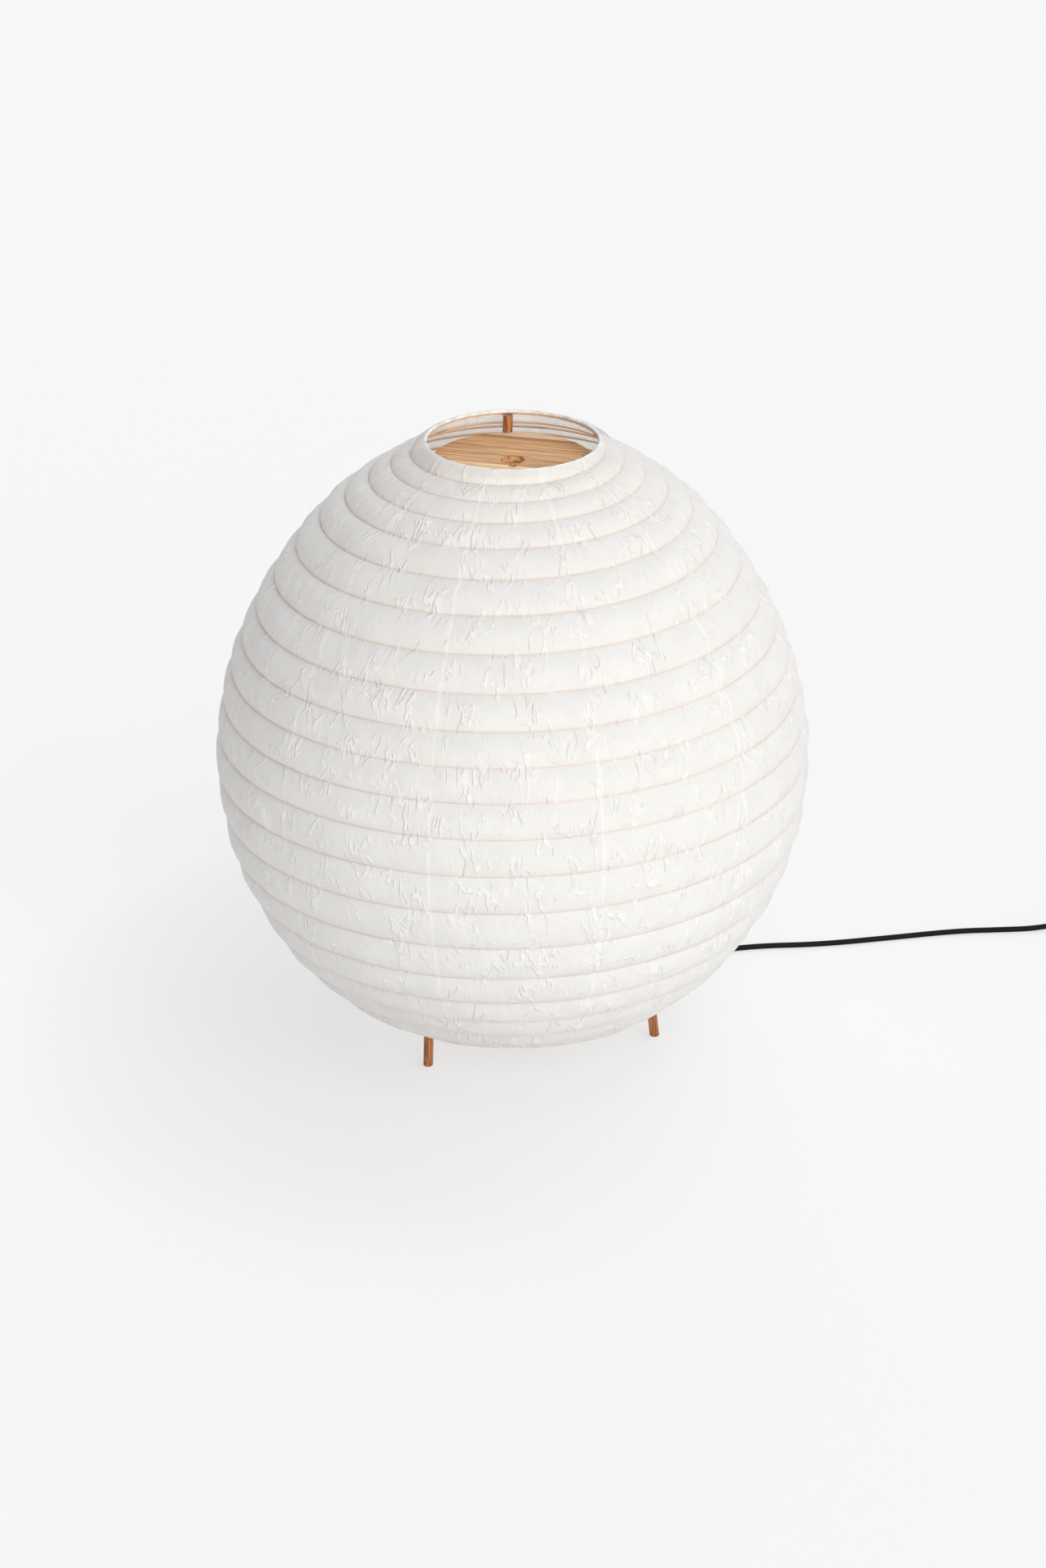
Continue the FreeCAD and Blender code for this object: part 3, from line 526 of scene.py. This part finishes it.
def paper_gore(number):
    start = FIRST_SEAM + number * GORE_ANGLE
    at_start, first, last = gore_turns(start)
    points, cut, from_rib, from_seam, band_side = [], [], [], [], []
    for column in range(COLUMNS + 1):
        share = column / COLUMNS
        azimuth = start + GORE_ANGLE * share
        turn = at_start - GORE_ANGLE * share / 360.0
        lines = [0.0] + [rib_distance(turn + k) for k in range(first, last + 1)] + [PAPER_LENGTH]
        for index, (top, foot) in enumerate(zip(lines, lines[1:])):
            r0, z0 = on_outline(top)
            r1, z1 = on_outline(foot)
            width = math.hypot(r1 - r0, z1 - z0)
            out_r, out_z = (z0 - z1) / width, (r1 - r0) / width
            for part in BAND_SHARES + ((1.0,) if foot == PAPER_LENGTH else ()):
                radius, height = r0 + part * (r1 - r0), z0 + part * (z1 - z0)
                stand = swelling(part, width, polar(radius, azimuth, height))
                radius, height = radius + out_r * stand, height + out_z * stand
                points.append(polar(radius, azimuth, height))
                distance = top + part * (foot - top)
                across = math.radians(GORE_ANGLE) * (share - 0.5) * radius
                cut.append((across * MM + 0.25 * number, distance * MM))
                above = distance - top if index else NO_RIB
                below = foot - distance if foot < PAPER_LENGTH else NO_RIB
                from_rib.append(min(above, below))
                from_seam.append(radius * math.radians(GORE_ANGLE) * min(share, 1 - share))
                band_side.append(math.sin(2 * math.pi * part))
    rows = len(points) // (COLUMNS + 1)
    faces = [(c * rows + r, c * rows + r + 1, (c + 1) * rows + r + 1, (c + 1) * rows + r)
             for c in range(COLUMNS) for r in range(rows - 1)]
    gore = mesh_object("kozo_gore_%02d" % (number + 1), points, faces, PAPER, "shade")
    layer = gore.data.uv_layers.new(name="cut")
    for loop in gore.data.loops:
        layer.data[loop.index].uv = cut[loop.vertex_index]
    for name, values in (("from_rib", from_rib), ("from_seam", from_seam), ("band_side", band_side)):
        gore.data.attributes.new(name, "FLOAT", "POINT").data.foreach_set("value", values)
    return gore


for number in range(GORES):
    gore = paper_gore(number)
    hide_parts("paper_gore_%02d" % (number + 1))
print("points in the last gore", len(gore.data.vertices))

# %% [markdown]
# ## Bamboo
#
# The strip and the two hoops are split bamboo. A culm is cut into long slats and planed, which
# shows fine straight fibres, and a faint ring every 25 to 30 cm where the culm had a node. The
# fibres run along the strip, so the strip's own unrolled length is its texture coordinate. A
# noise stretched hard along that length draws fibres, and a slow wave along it draws the nodes.

# %% Bamboo material


def split_bamboo():
    material, tree = new_material("split_bamboo")
    along = node(tree, "UVMap", {"uv_map": "along"})
    # fibres about 0.5 mm wide and 60 mm long
    fibres = noise_at(tree, stretched(tree, along, (16.0, 2000.0, 1.0)), 1.0, 4.0, Roughness=0.65)
    tone = ramp(tree, fibres, (0.30, "#C98F5B"), (0.72, "#EBC69B"))
    # a narrow darker ring every 280 mm, where the culm had a node
    rings = mapped(tree, waves(tree, along, "X", 0.28, Distortion=0.3), 0.985, 1.0, 0.0, 0.55)
    return finished(material, node(tree, "BsdfPrincipled", {
        "Roughness": 0.5, "IOR": 1.5, "Base Color": mixed(tree, rings, tone, "#A9713F"),
        "Normal": bump(tree, fibres, 0.5, 0.0002)}))


BAMBOO = split_bamboo()


def bar(name, sections, lengths, material, body, loop=False):
    """A bar through equal sections of corners, with its unrolled length as the map 'along'."""
    corners = len(sections[0])
    points = [corner for section in sections for corner in section]
    count = len(sections)
    faces, maps = [], []
    girth = [0.0]
    for a, b in zip(sections[0], sections[0][1:] + sections[0][:1]):
        girth.append(girth[-1] + (Vector(b) - Vector(a)).length)
    for i in range(count if loop else count - 1):
        j = (i + 1) % count
        for k in range(corners):
            m = (k + 1) % corners
            faces.append((i * corners + k, j * corners + k, j * corners + m, i * corners + m))
            u0, u1 = lengths[i] * MM, lengths[i + 1] * MM
            v0, v1 = girth[k] * MM, girth[k + 1] * MM
            maps += [(u0, v0), (u1, v0), (u1, v1), (u0, v1)]
    if not loop:
        faces += [tuple(range(corners))[::-1], tuple((count - 1) * corners + k for k in range(corners))]
        maps += [(0.0, 0.0)] * (2 * corners)
    made = mesh_object(name, points, faces, material, body, sharp_degrees=40)
    layer = made.data.uv_layers.new(name="along")
    for data, place in zip(layer.data, maps):
        data.uv = place
    return made


# %% The spiral strip
STEPS_PER_GORE = 10
RIB_THICKNESS, RIB_INSET = 1.6, 0.95        # the inset is the paper and its paste
RIB_BEVEL = 0.45


def strip_section(turns):
    """The strip lies flat on the inside of the paper; its outer corners are planed off."""
    azimuth = RIB_START - 360.0 * turns
    distance = rib_distance(turns)
    r0, z0 = on_outline(distance, RIB_INSET)
    r1, z1 = on_outline(distance, RIB_INSET + RIB_THICKNESS)
    inward = Vector((r1 - r0, z1 - z0)) / RIB_THICKNESS
    along = Vector((-inward.y, inward.x))
    side, edge, back = RIB_WIDTH / 2, RIB_WIDTH / 2 - RIB_BEVEL, RIB_THICKNESS - RIB_BEVEL
    plan = [(-edge, 0), (edge, 0), (side, RIB_BEVEL), (side, back),
            (edge, RIB_THICKNESS), (-edge, RIB_THICKNESS), (-side, back), (-side, RIB_BEVEL)]
    corners = []
    for sideways, deep in plan:
        at = Vector((r0, z0)) + along * sideways + inward * deep
        corners.append(polar(at.x, azimuth, at.y))
    return corners


first_turn = (RIB_START - FIRST_SEAM) / 360.0 % (1.0 / GORES)
while rib_distance(first_turn) < LEAST_BAND:
    first_turn += 1.0 / GORES
last_turn = first_turn
while rib_distance(last_turn + 1.0 / GORES) < PAPER_LENGTH - LEAST_BAND:
    last_turn += 1.0 / GORES
steps = round((last_turn - first_turn) * GORES * STEPS_PER_GORE)
sections = [strip_section(first_turn + (last_turn - first_turn) * i / steps) for i in range(steps + 1)]
lengths = [0.0]
for a, b in zip(sections, sections[1:]):
    lengths.append(lengths[-1] + (b[0] - a[0]).length)
strip = bar("bamboo_spiral", sections, lengths, BAMBOO, "shade")
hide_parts("bamboo_rib")
print("strip", round(last_turn - first_turn, 2), "turns,", round(lengths[-1] * MM, 2), "m long")

# %% [markdown]
# ## Hoops and the paper over the rim
#
# Two bamboo hoops hold the ends of the shade. The top one is wrapped: a narrow tape of the same
# paper goes from the outside over the hoop and down inside it. Both hoops are rings of one
# section, so one function makes them, and the tape gets a little waviness because pasted paper
# puckers where it turns over an edge.

# %% Rings
HOOP_SIDES = 176


def ring(name, profile):
    """A bamboo ring round the lantern's axis from a closed profile of (radius, height)."""
    azimuths = [360.0 * i / HOOP_SIDES for i in range(HOOP_SIDES)]
    sections = [[polar(r, azimuth, z) for r, z in profile] for azimuth in azimuths]
    lengths = [math.radians(azimuth) * profile[0][0] for azimuth in azimuths]
    lengths.append(2 * math.pi * profile[0][0])
    return bar(name, sections, lengths, BAMBOO, "shade", loop=True)


def hoop_profile(outer, bottom, thickness=2.2, height=2.8):
    inner, top, c = outer - thickness, bottom + height, 0.5       # c takes the corners off
    return [(outer - c, bottom), (outer, bottom + c), (outer, top - c), (outer - c, top),
            (inner + c, top), (inner, top - c), (inner, bottom + c), (inner + c, bottom)]


top_profile = hoop_profile(88.0, 650.3, thickness=1.7, height=3.2)
bottom_profile = hoop_profile(156.8, MOUTH_HEIGHT + 0.6)
for name, profile, replaced in (("top_bamboo_hoop", top_profile, "top_hoop"),
                                ("mouth_bamboo_hoop", bottom_profile, "bottom_hoop")):
    hoop = ring(name, profile)
    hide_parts(replaced)


def shaded_rim_paper():
    """The tape over the top hoop: the same paper, greyed as painted shade, and mottled where the paste
    soaked in.
    """
    material, tree = new_material("shaded_pasted_kozo_tape")
    paste = noise_at(tree, node(tree, "TexCoord", output="Object"), 120.0, 4.0)
    return finished(material, node(tree, "BsdfPrincipled", {
        "Roughness": 0.8, "IOR": 1.5, "Base Color": ramp(tree, paste, (0.32, "#C9CACB"), (0.62, "#EDEBE8")),
        "Normal": bump(tree, paste, 0.5, 0.0003)}))


TAPE_PROFILE = [(88.2, 648.6), (88.6, 652.9), (88.45, 653.8), (87.9, 654.3), (87.2, 654.3), (86.6, 653.9),
                (86.25, 653.1), (86.2, 652.0)]
TAPE_SIDES = 220
TAPE_WAVE = 0.25
folds = len(TAPE_PROFILE) - 1
tape_points, tape_faces = [], []
for i in range(TAPE_SIDES):
    azimuth = 360.0 * i / TAPE_SIDES
    wave = noise.noise(polar(14.0, azimuth, 3.0))
    tape_points += [polar(r, azimuth, z + wave * TAPE_WAVE * math.sin(math.pi * k / folds))
                    for k, (r, z) in enumerate(TAPE_PROFILE)]
    here, there = i * (folds + 1), (i + 1) % TAPE_SIDES * (folds + 1)
    tape_faces += [(here + k, there + k, there + k + 1, here + k + 1) for k in range(folds)]
tape = mesh_object("rim_paper_tape", tape_points, tape_faces, shaded_rim_paper(), "shade")
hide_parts("rim_tape")
print("hoops and tape done")

# %% [markdown]
# ## Dowels
#
# The legs are planed hardwood dowels with a clear satin oil. Such wood is orange-brown, with
# fine dark pores drawn out along the dowel. The CAD solids are already right, with their saw
# slots, so they stay and get the wood, and a small Bevel modifier takes the sharpness off the
# sawn edges. Noise stretched along Z draws the grain, because the dowels stand nearly upright.

# %% Dowel wood


def oiled_dowel():
    material, tree = new_material("oiled_hardwood_dowel")
    place = node(tree, "TexCoord", output="Object")
    # grain lines about 2 mm apart and 60 mm long
    grain = noise_at(tree, stretched(tree, place, (520.0, 520.0, 16.0)), 1.0, 5.0, Roughness=0.7)
    tone = ramp(tree, grain, (0.40, "#6B3F1C"), (0.64, "#CC8C50"))
    slow = noise_at(tree, place, 9.0, 1.0)       # a slow change of colour along the dowel
    return finished(material, node(tree, "BsdfPrincipled", {
        "IOR": 1.5, "Base Color": mixed(tree, slow, tone, "#F0D9C4", "MULTIPLY"),
        "Roughness": mapped(tree, grain, 0.0, 1.0, 0.42, 0.62), "Normal": bump(tree, grain, 0.4, 0.0003)}))


def dress(name, material, bevel=None, segments=2):
    """Gives a CAD node its finish, and rounds its edges by the bevel in millimetres."""
    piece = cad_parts[name]
    for place in piece.material_slots:
        place.material = material
    if not piece.material_slots:
        piece.data.materials.append(material)
    if bevel:
        joined = piece.modifiers.new("joined_faces", "WELD")     # the bevel needs faces that meet
        joined.merge_threshold = 0.001 * MM
        rounding = piece.modifiers.new("eased_edges", "BEVEL")
        rounding.width = bevel * MM
        rounding.segments = segments
        rounding.limit_method = "ANGLE"
        rounding.angle_limit = math.radians(40)
        rounding.harden_normals = True


DOWEL = oiled_dowel()
for name in ("leg_back", "leg_left", "leg_right"):
    dress(name, DOWEL, bevel=0.4)
print("dowels dressed")

# %% [markdown]
# ## Discs of edge-glued board
#
# Both discs are sawn from a board of softwood staves about 80 mm wide, glued edge to edge. The
# photograph shows two glue lines across the upper disc: the stave between them is darker and
# rougher. The distance across the staves is worked out from the position, so each stave can have
# its own tone, and thin lines darken the joints. The grain is noise stretched along the staves.

# %% Board
STAVE_TURN = -14.6                    # the staves' direction in plan
STAVE_JOINTS = (66.3, -15.5, -97.0)   # across the staves, from the lantern's axis


def edge_glued_board():
    material, tree = new_material("edge_glued_softwood")
    place = node(tree, "TexCoord", output="Object")
    turned = node(tree, "VectorRotate", {"rotation_type": "Z_AXIS", "Angle": math.radians(-STAVE_TURN),
                                         "Vector": place})
    across = node(tree, "SeparateXYZ", {"Vector": turned}, "Y")
    far_joint, near_joint = STAVE_JOINTS[0], STAVE_JOINTS[1]

    # grain: lines about 2 mm apart and 90 mm long, with fine pores of 0.4 mm between them
    drawn_out = stretched(tree, turned, (11.0, 420.0, 260.0))
    grain = noise_at(tree, drawn_out, 1.0, 4.0, Roughness=0.6, Distortion=0.5)
    pores = noise_at(tree, stretched(tree, turned, (60.0, 2200.0, 1500.0)), 1.0, 3.0)
    both = maths(tree, "MULTIPLY_ADD", pores, 0.35, grain)

    # the middle stave is darker than its neighbours
    light = ramp(tree, both, (0.56, "#B5834F"), (0.80, "#EECBA0"))
    dark = ramp(tree, both, (0.54, "#95602F"), (0.80, "#DEAE78"))
    before_far = maths(tree, "LESS_THAN", across, far_joint * MM)
    past_near = maths(tree, "GREATER_THAN", across, near_joint * MM)
    colour = mixed(tree, maths(tree, "MULTIPLY", before_far, past_near), light, dark)

    # the rough, still darker edge of the middle stave along its far joint, about 11 mm wide
    edge = mapped(tree, across, (far_joint - 13) * MM, (far_joint - 2) * MM, 0.0, 0.75, smooth=True)
    colour = mixed(tree, maths(tree, "MULTIPLY", edge, before_far), colour, "#99663F")

    # the stave beyond that joint is paler
    beyond = maths(tree, "GREATER_THAN", across, far_joint * MM)
    colour = mixed(tree, maths(tree, "MULTIPLY", beyond, 0.45), colour, "#F3D6BC")

    for joint in STAVE_JOINTS:
        away = maths(tree, "ABSOLUTE", maths(tree, "SUBTRACT", across, joint * MM))
        colour = mixed(tree, mapped(tree, away, 0.0007, 0.0002, 0.0, 0.75), colour, "#8A5A35")
    return finished(material, node(tree, "BsdfPrincipled", {
        "IOR": 1.5, "Base Color": colour, "Roughness": mapped(tree, grain, 0.0, 1.0, 0.5, 0.75),
        "Normal": bump(tree, both, 0.5, 0.0004)}))


BOARD = edge_glued_board()
for name in ("upper_disc", "lower_disc"):
    dress(name, BOARD, bevel=0.7)
print("discs dressed")

# %% [markdown]
# ## Metals
#
# The nipple and its nut are steel with a thin zinc plating, blue-grey and faintly mottled, because
# zinc dries in patches. The screw shell and its contact are rolled brass, the plug's pins and the
# lamp's cap are nickel over brass, and the hooks are bare drawn wire. A metal shader takes its
# colour from the reflection, so only the colour, the roughness and small scratches differ, and
# the default IOR stays.

# %% Metal finishes


def plated(name, low, high, roughness, patch_mm):
    """A plated metal: two tones in patches, with roughness that follows them."""
    material, tree = new_material(name)
    place = node(tree, "TexCoord", output="Object")
    patches = noise_at(tree, place, 1000.0 / patch_mm, 3.0)
    # draw marks round the piece, 0.3 mm apart
    drawn = noise_at(tree, stretched(tree, place, (60.0, 60.0, 3000.0)), 1.0, 2.0)
    return finished(material, node(tree, "BsdfPrincipled", {
        "Metallic": 1.0, "Base Color": ramp(tree, patches, (0.3, low), (0.7, high)),
        "Roughness": mapped(tree, patches, 0.3, 0.7, roughness - 0.06, roughness + 0.08),
        "Normal": bump(tree, drawn, 0.2, 0.0001)}))


ZINC = plated("zinc_plated_steel", "#A9ADB2", "#C9CCD0", 0.36, 4.0)
BRASS = plated("rolled_brass", "#B98F46", "#D9B56A", 0.28, 6.0)
NICKEL = plated("nickel_plated_brass", "#B7B2A8", "#D2CEC6", 0.22, 8.0)
WIRE = plated("drawn_steel_wire", "#9B9DA0", "#C2C4C7", 0.32, 3.0)
dress("hoop_hooks", WIRE)
dress("plug_pins", NICKEL)
print("metals made")

# %% [markdown]
# ## Plastics, ceramic and glass
#
# The holder is pressed phenolic, black-brown and a little glossy. The grip, the switch and the
# plug are injection-moulded, with a fine sparked texture that makes them satin. The contact
# block is glazed steatite, and the bead at the lamp's foot is black glass. The lamp's tube is
# glass frosted white on the inside, so it looks milky and still has a clear gloss outside.

# %% Moulded and fired finishes


def moulded(name, dark, light, roughness, grit_mm, relief_mm):
    """A moulded piece: an even tone, a fine grit from the mould, and wear that polishes it."""
    material, tree = new_material(name)
    place = node(tree, "TexCoord", output="Object")
    grit = noise_at(tree, place, 1000.0 / grit_mm, 2.0)
    wear = noise_at(tree, place, 60.0, 3.0)
    return finished(material, node(tree, "BsdfPrincipled", {
        "IOR": 1.53, "Base Color": mixed(tree, wear, dark, light),
        "Roughness": mapped(tree, wear, 0.3, 0.7, roughness - 0.08, roughness + 0.08),
        "Normal": bump(tree, grit, 0.5, relief_mm * MM)}))


PHENOLIC = moulded("pressed_phenolic", "#17130F", "#241D17", 0.32, 1.2, 0.03)
ABS = moulded("sparked_black_abs", "#151517", "#212124", 0.48, 0.6, 0.05)
STEATITE = moulded("glazed_steatite", "#E6E2D8", "#F3F0E8", 0.25, 2.0, 0.04)
BEAD = moulded("black_glass_bead", "#08080A", "#111114", 0.12, 3.0, 0.02)


def frosted_tube():
    """Glass frosted white inside: milky, slightly warm, with the tube's own smooth gloss."""
    material, tree = new_material("inside_frosted_glass")
    powder = noise_at(tree, node(tree, "TexCoord", output="Object"), 70.0, 4.0)
    tone = ramp(tree, powder, (0.3, "#ECEAE4"), (0.7, "#F8F7F3"))
    glass = node(tree, "BsdfPrincipled", {"Roughness": 0.12, "IOR": 1.5, "Subsurface Weight": 0.3,
                                          "Subsurface Scale": 0.004, "Base Color": tone})
    through = node(tree, "BsdfTranslucent", {"Color": tone})
    return finished(material, node(tree, "MixShader", {"Fac": 0.2, 1: glass, 2: through}))


FROSTED = frosted_tube()
print("moulded and fired finishes made")

# %% [markdown]
# ## Turned pieces of the holder
#
# Nearly every piece between the disc and the lamp is round about one axis. Each is a profile of
# radius and height, spun into rings of points, as on a lathe. The profiles use the CAD sizes and
# add what a turned or moulded piece has: rounded edges, the threads of the nipple, the rolled
# thread of the screw shell, and the ribs of the cord grip.

# %% Lathe


def lathe(name, profile, material, body, replaced, sides=72, sharp_degrees=38):
    """A turned piece from a closed profile of (radius, height); radius 0 closes on the axis."""
    points, rings = [], []
    for radius, height in profile:
        if radius < 1e-6:
            rings.append([len(points)])
            points.append(LAMP_AXIS + Vector((0, 0, height)))
        else:
            rings.append([len(points) + i for i in range(sides)])
            points += [LAMP_AXIS + polar(radius, 360.0 * i / sides, height) for i in range(sides)]
    faces = []
    pairs = list(zip(rings, rings[1:]))
    if len(rings[0]) > 1:
        pairs.append((rings[-1], rings[0]))
    for a, b in pairs:
        for i in range(sides):
            j = (i + 1) % sides
            if len(a) > 1 and len(b) > 1:
                faces.append((a[i], a[j], b[j], b[i]))
            elif len(b) > 1:
                faces.append((a[0], b[j], b[i]))
            elif len(a) > 1:
                faces.append((a[i], a[j], b[0]))
    made = mesh_object(name, points, faces, material, body, sharp_degrees=sharp_degrees)
    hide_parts(replaced)


def rounded(profile, radius, steps=3):
    """The profile with its corners rounded by a radius, or by less where a side is short."""
    out = []
    count = len(profile)
    for i, point in enumerate(profile):
        here, before, after = Vector(point), Vector(profile[i - 1]), Vector(profile[(i + 1) % count])
        back, on = before - here, after - here
        if here.x < 1e-6 or back.length < 1e-6 or on.length < 1e-6:
            out.append(tuple(here))
            continue
        cut = min(radius, back.length * 0.4, on.length * 0.4)
        start, end = here + back.normalized() * cut, here + on.normalized() * cut
        for k in range(steps + 1):
            t = k / steps
            at = start * (1 - t) ** 2 + here * 2 * t * (1 - t) + end * t * t
            out.append((at.x, at.y))
    return out


def threaded(outer, low, high, pitch, depth):
    """The outer side of a thread, from low to high, as V-shaped grooves."""
    out = []
    turns = int((high - low) / pitch)
    step, crest = (high - low) / turns, outer - depth * 0.1
    for i in range(turns):
        z = low + (high - low) * i / turns
        out += [(outer - depth, z), (crest, z + step * 0.38), (crest, z + step * 0.62)]
    return out + [(outer - depth, high)]


lathe("threaded_nipple", [(3.6, 176)] + threaded(5.0, 176.0, 211.0, 1.0, 0.5) + [(3.6, 211)],
      ZINC, "frame", "nipple", sharp_degrees=70)

grip_ribs = [(5.2 - 0.8 * (i / 20) + (0.0 if i % 4 < 2 else -0.45), 177.0 - 20.6 * i / 20)
             for i in range(21)]
grip_down = (rounded([(5.0, 186), (8.0, 186), (8.0, 178.6)], 0.6) + grip_ribs
             + rounded([(4.4, 156.0), (3.05, 156.0), (3.05, 184.0)], 0.3))
lathe("cord_grip", grip_down[::-1], ABS, "frame", "flex_grip")

dome = [(5, 202), (8.5, 202), (9.6, 203.2), (12.6, 204.4), (15, 206), (17.6, 208.8), (19.3, 211.8),
        (20, 215), (20, 224), (18, 224), (18, 214.5), (13, 207.5), (5, 205)]
lathe("holder_cap", rounded(dome, 0.5), PHENOLIC, "frame", "holder_dome")

knurl = [(22.2 - (0.55 if i % 2 else 0.0), 221 + i * 1.6) for i in range(8)]
skirt = ([(20, 218), (22.2, 218)] + knurl
         + [(22.2, 236), (22.2, 252), (21.2, 254), (19.2, 254), (19.2, 224), (20, 224)])
lathe("holder_skirt_ring", rounded(skirt, 0.5), PHENOLIC, "frame", "holder_skirt")

block = [(0, 215), (17.8, 215), (17.8, 223.8), (18.8, 224.1), (18.8, 227), (0, 227)]
lathe("steatite_block", rounded(block, 0.5), STEATITE, "frame", "contact_block")

wave_out = [(13.95 + 0.25 * math.sin(2 * math.pi * i / 8), 227 + 24.0 * i / 56) for i in range(57)]
lathe("rolled_screw_shell", wave_out + [(r - 0.5, z) for r, z in reversed(wave_out)],
      BRASS, "frame", "screw_shell", sharp_degrees=60)

tip = [(0, 229.7), (3.2, 229.7), (4.6, 230.6), (5, 232.3), (0, 232.3)]
lathe("lamp_tip_contact", rounded(tip, 0.4), NICKEL, "lamp", "lamp_contact")

bead = [(0, 232.3), (5, 232.3), (9.5, 233.3), (11.8, 234.8), (0, 234.8)]
lathe("lamp_glass_bead", rounded(bead, 0.5), BEAD, "lamp", "lamp_insulator")

cap_side = [(12.75 + 0.42 * math.sin(2 * math.pi * i / 8), 236.6 + 16.6 * i / 40) for i in range(41)]
cap = ([(0, 234.8), (11.8, 234.8), (12.6, 235.4)] + cap_side
       + [(13.3, 254.2), (13.3, 256.2), (13.1, 256.8), (0, 256.8)])
lathe("lamp_screw_cap", cap, NICKEL, "lamp", "lamp_cap", sharp_degrees=60)

neck = [(12.7 + 5.8 * (3 * t * t - 2 * t ** 3), 256.8 + 16.0 * t) for t in (i / 8 for i in range(9))]
crown = [(18.5 - 11 * (1 - math.cos(math.radians(a))), 341.8 + 11 * math.sin(math.radians(a)))
         for a in range(0, 91, 10)]
lathe("frosted_lamp_tube", [(0, 256.8)] + neck + crown + [(0, 352.8)], FROSTED, "lamp", "lamp_tube",
      sides=96, sharp_degrees=50)

dress("nipple_nut", ZINC, bevel=0.5)
dress("centre_contact", BRASS, bevel=0.25)
print("the holder and the lamp are turned")

# %% [markdown]
# ## Switch and plug
#
# The switch shells, the rocker and the plug are injection-moulded ABS. Their CAD solids have the
# right shape and stay. A moulded edge always has a radius, or the piece would stick in its
# mould, so a Bevel modifier with three segments rounds them, and the light then draws a thin
# highlight along each edge.

# %% Switch and plug
for name, bevel in (("switch_lower_shell", 0.9), ("switch_upper_shell", 0.9), ("switch_rocker", 0.5),
                    ("plug_body", 1.2)):
    dress(name, ABS, bevel=bevel, segments=3)
print("switch and plug dressed")

# %% [markdown]
# ## The strap round the coil
#
# A woven nylon strap with a hook-and-loop end keeps the coil together. It is a flat band that
# goes under the turns, up, and back over them, with soft corners where it bends. It is built as
# a closed loop of sections. The weave is two crossed waves 1.2 mm apart.

# %% Strap
STRAP_WIDTH, STRAP_THICKNESS, STRAP_CORNER = 9.0, 0.9, 4.0
STRAP_PLAN = ((STRAP_WIDTH / 2, 0.0), (-STRAP_WIDTH / 2, 0.0),
              (-STRAP_WIDTH / 2, STRAP_THICKNESS), (STRAP_WIDTH / 2, STRAP_THICKNESS))
WEAVE_SPACING = 0.0012       # metres


def woven_nylon():
    material, tree = new_material("woven_nylon_tape")
    along = node(tree, "UVMap", {"uv_map": "along"})
    warp, weft = (waves(tree, along, direction, WEAVE_SPACING) for direction in "XY")
    weave = maths(tree, "MULTIPLY", warp, weft)
    return finished(material, node(tree, "BsdfPrincipled", {
        "Roughness": 0.75, "IOR": 1.5, "Sheen Weight": 0.3,
        "Base Color": mixed(tree, weave, "#151517", "#3A3A3E"), "Normal": bump(tree, weave, 0.8, 0.0002)}))


low_z, high_z = COIL_REST - FLEX_DIAMETER / 2 - 0.1, COIL_REST + COIL_STEP + FLEX_DIAMETER / 2 + 0.1
inner_r, outer_r = COIL_INNER - 1.6, COIL_INNER + COIL_STEP * 1.25 + 3.6
strap_sections, strap_lengths = [], [0.0]
for centre_r, centre_z, begin in ((outer_r - STRAP_CORNER, low_z + STRAP_CORNER, -90),
                                  (outer_r - STRAP_CORNER, high_z - STRAP_CORNER, 0),
                                  (inner_r + STRAP_CORNER, high_z - STRAP_CORNER, 90),
                                  (inner_r + STRAP_CORNER, low_z + STRAP_CORNER, 180)):
    for turned in range(0, 91, 15):
        out_r, out_z = math.cos(math.radians(begin + turned)), math.sin(math.radians(begin + turned))
        r, z = centre_r + STRAP_CORNER * out_r, centre_z + STRAP_CORNER * out_z
        # azimuth 180: outwards is -X, and the width of the strap lies along Y
        strap_sections.append([COIL_CENTRE + Vector((-(r + out_r * deep), side, z + out_z * deep))
                               for side, deep in STRAP_PLAN])
for a, b in zip(strap_sections, strap_sections[1:] + strap_sections[:1]):
    strap_lengths.append(strap_lengths[-1] + (b[0] - a[0]).length)
strap = bar("woven_coil_strap", strap_sections, strap_lengths, woven_nylon(), "frame", loop=True)
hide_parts("coil_strap")
print("strap", round(strap_lengths[-1], 1), "mm round")
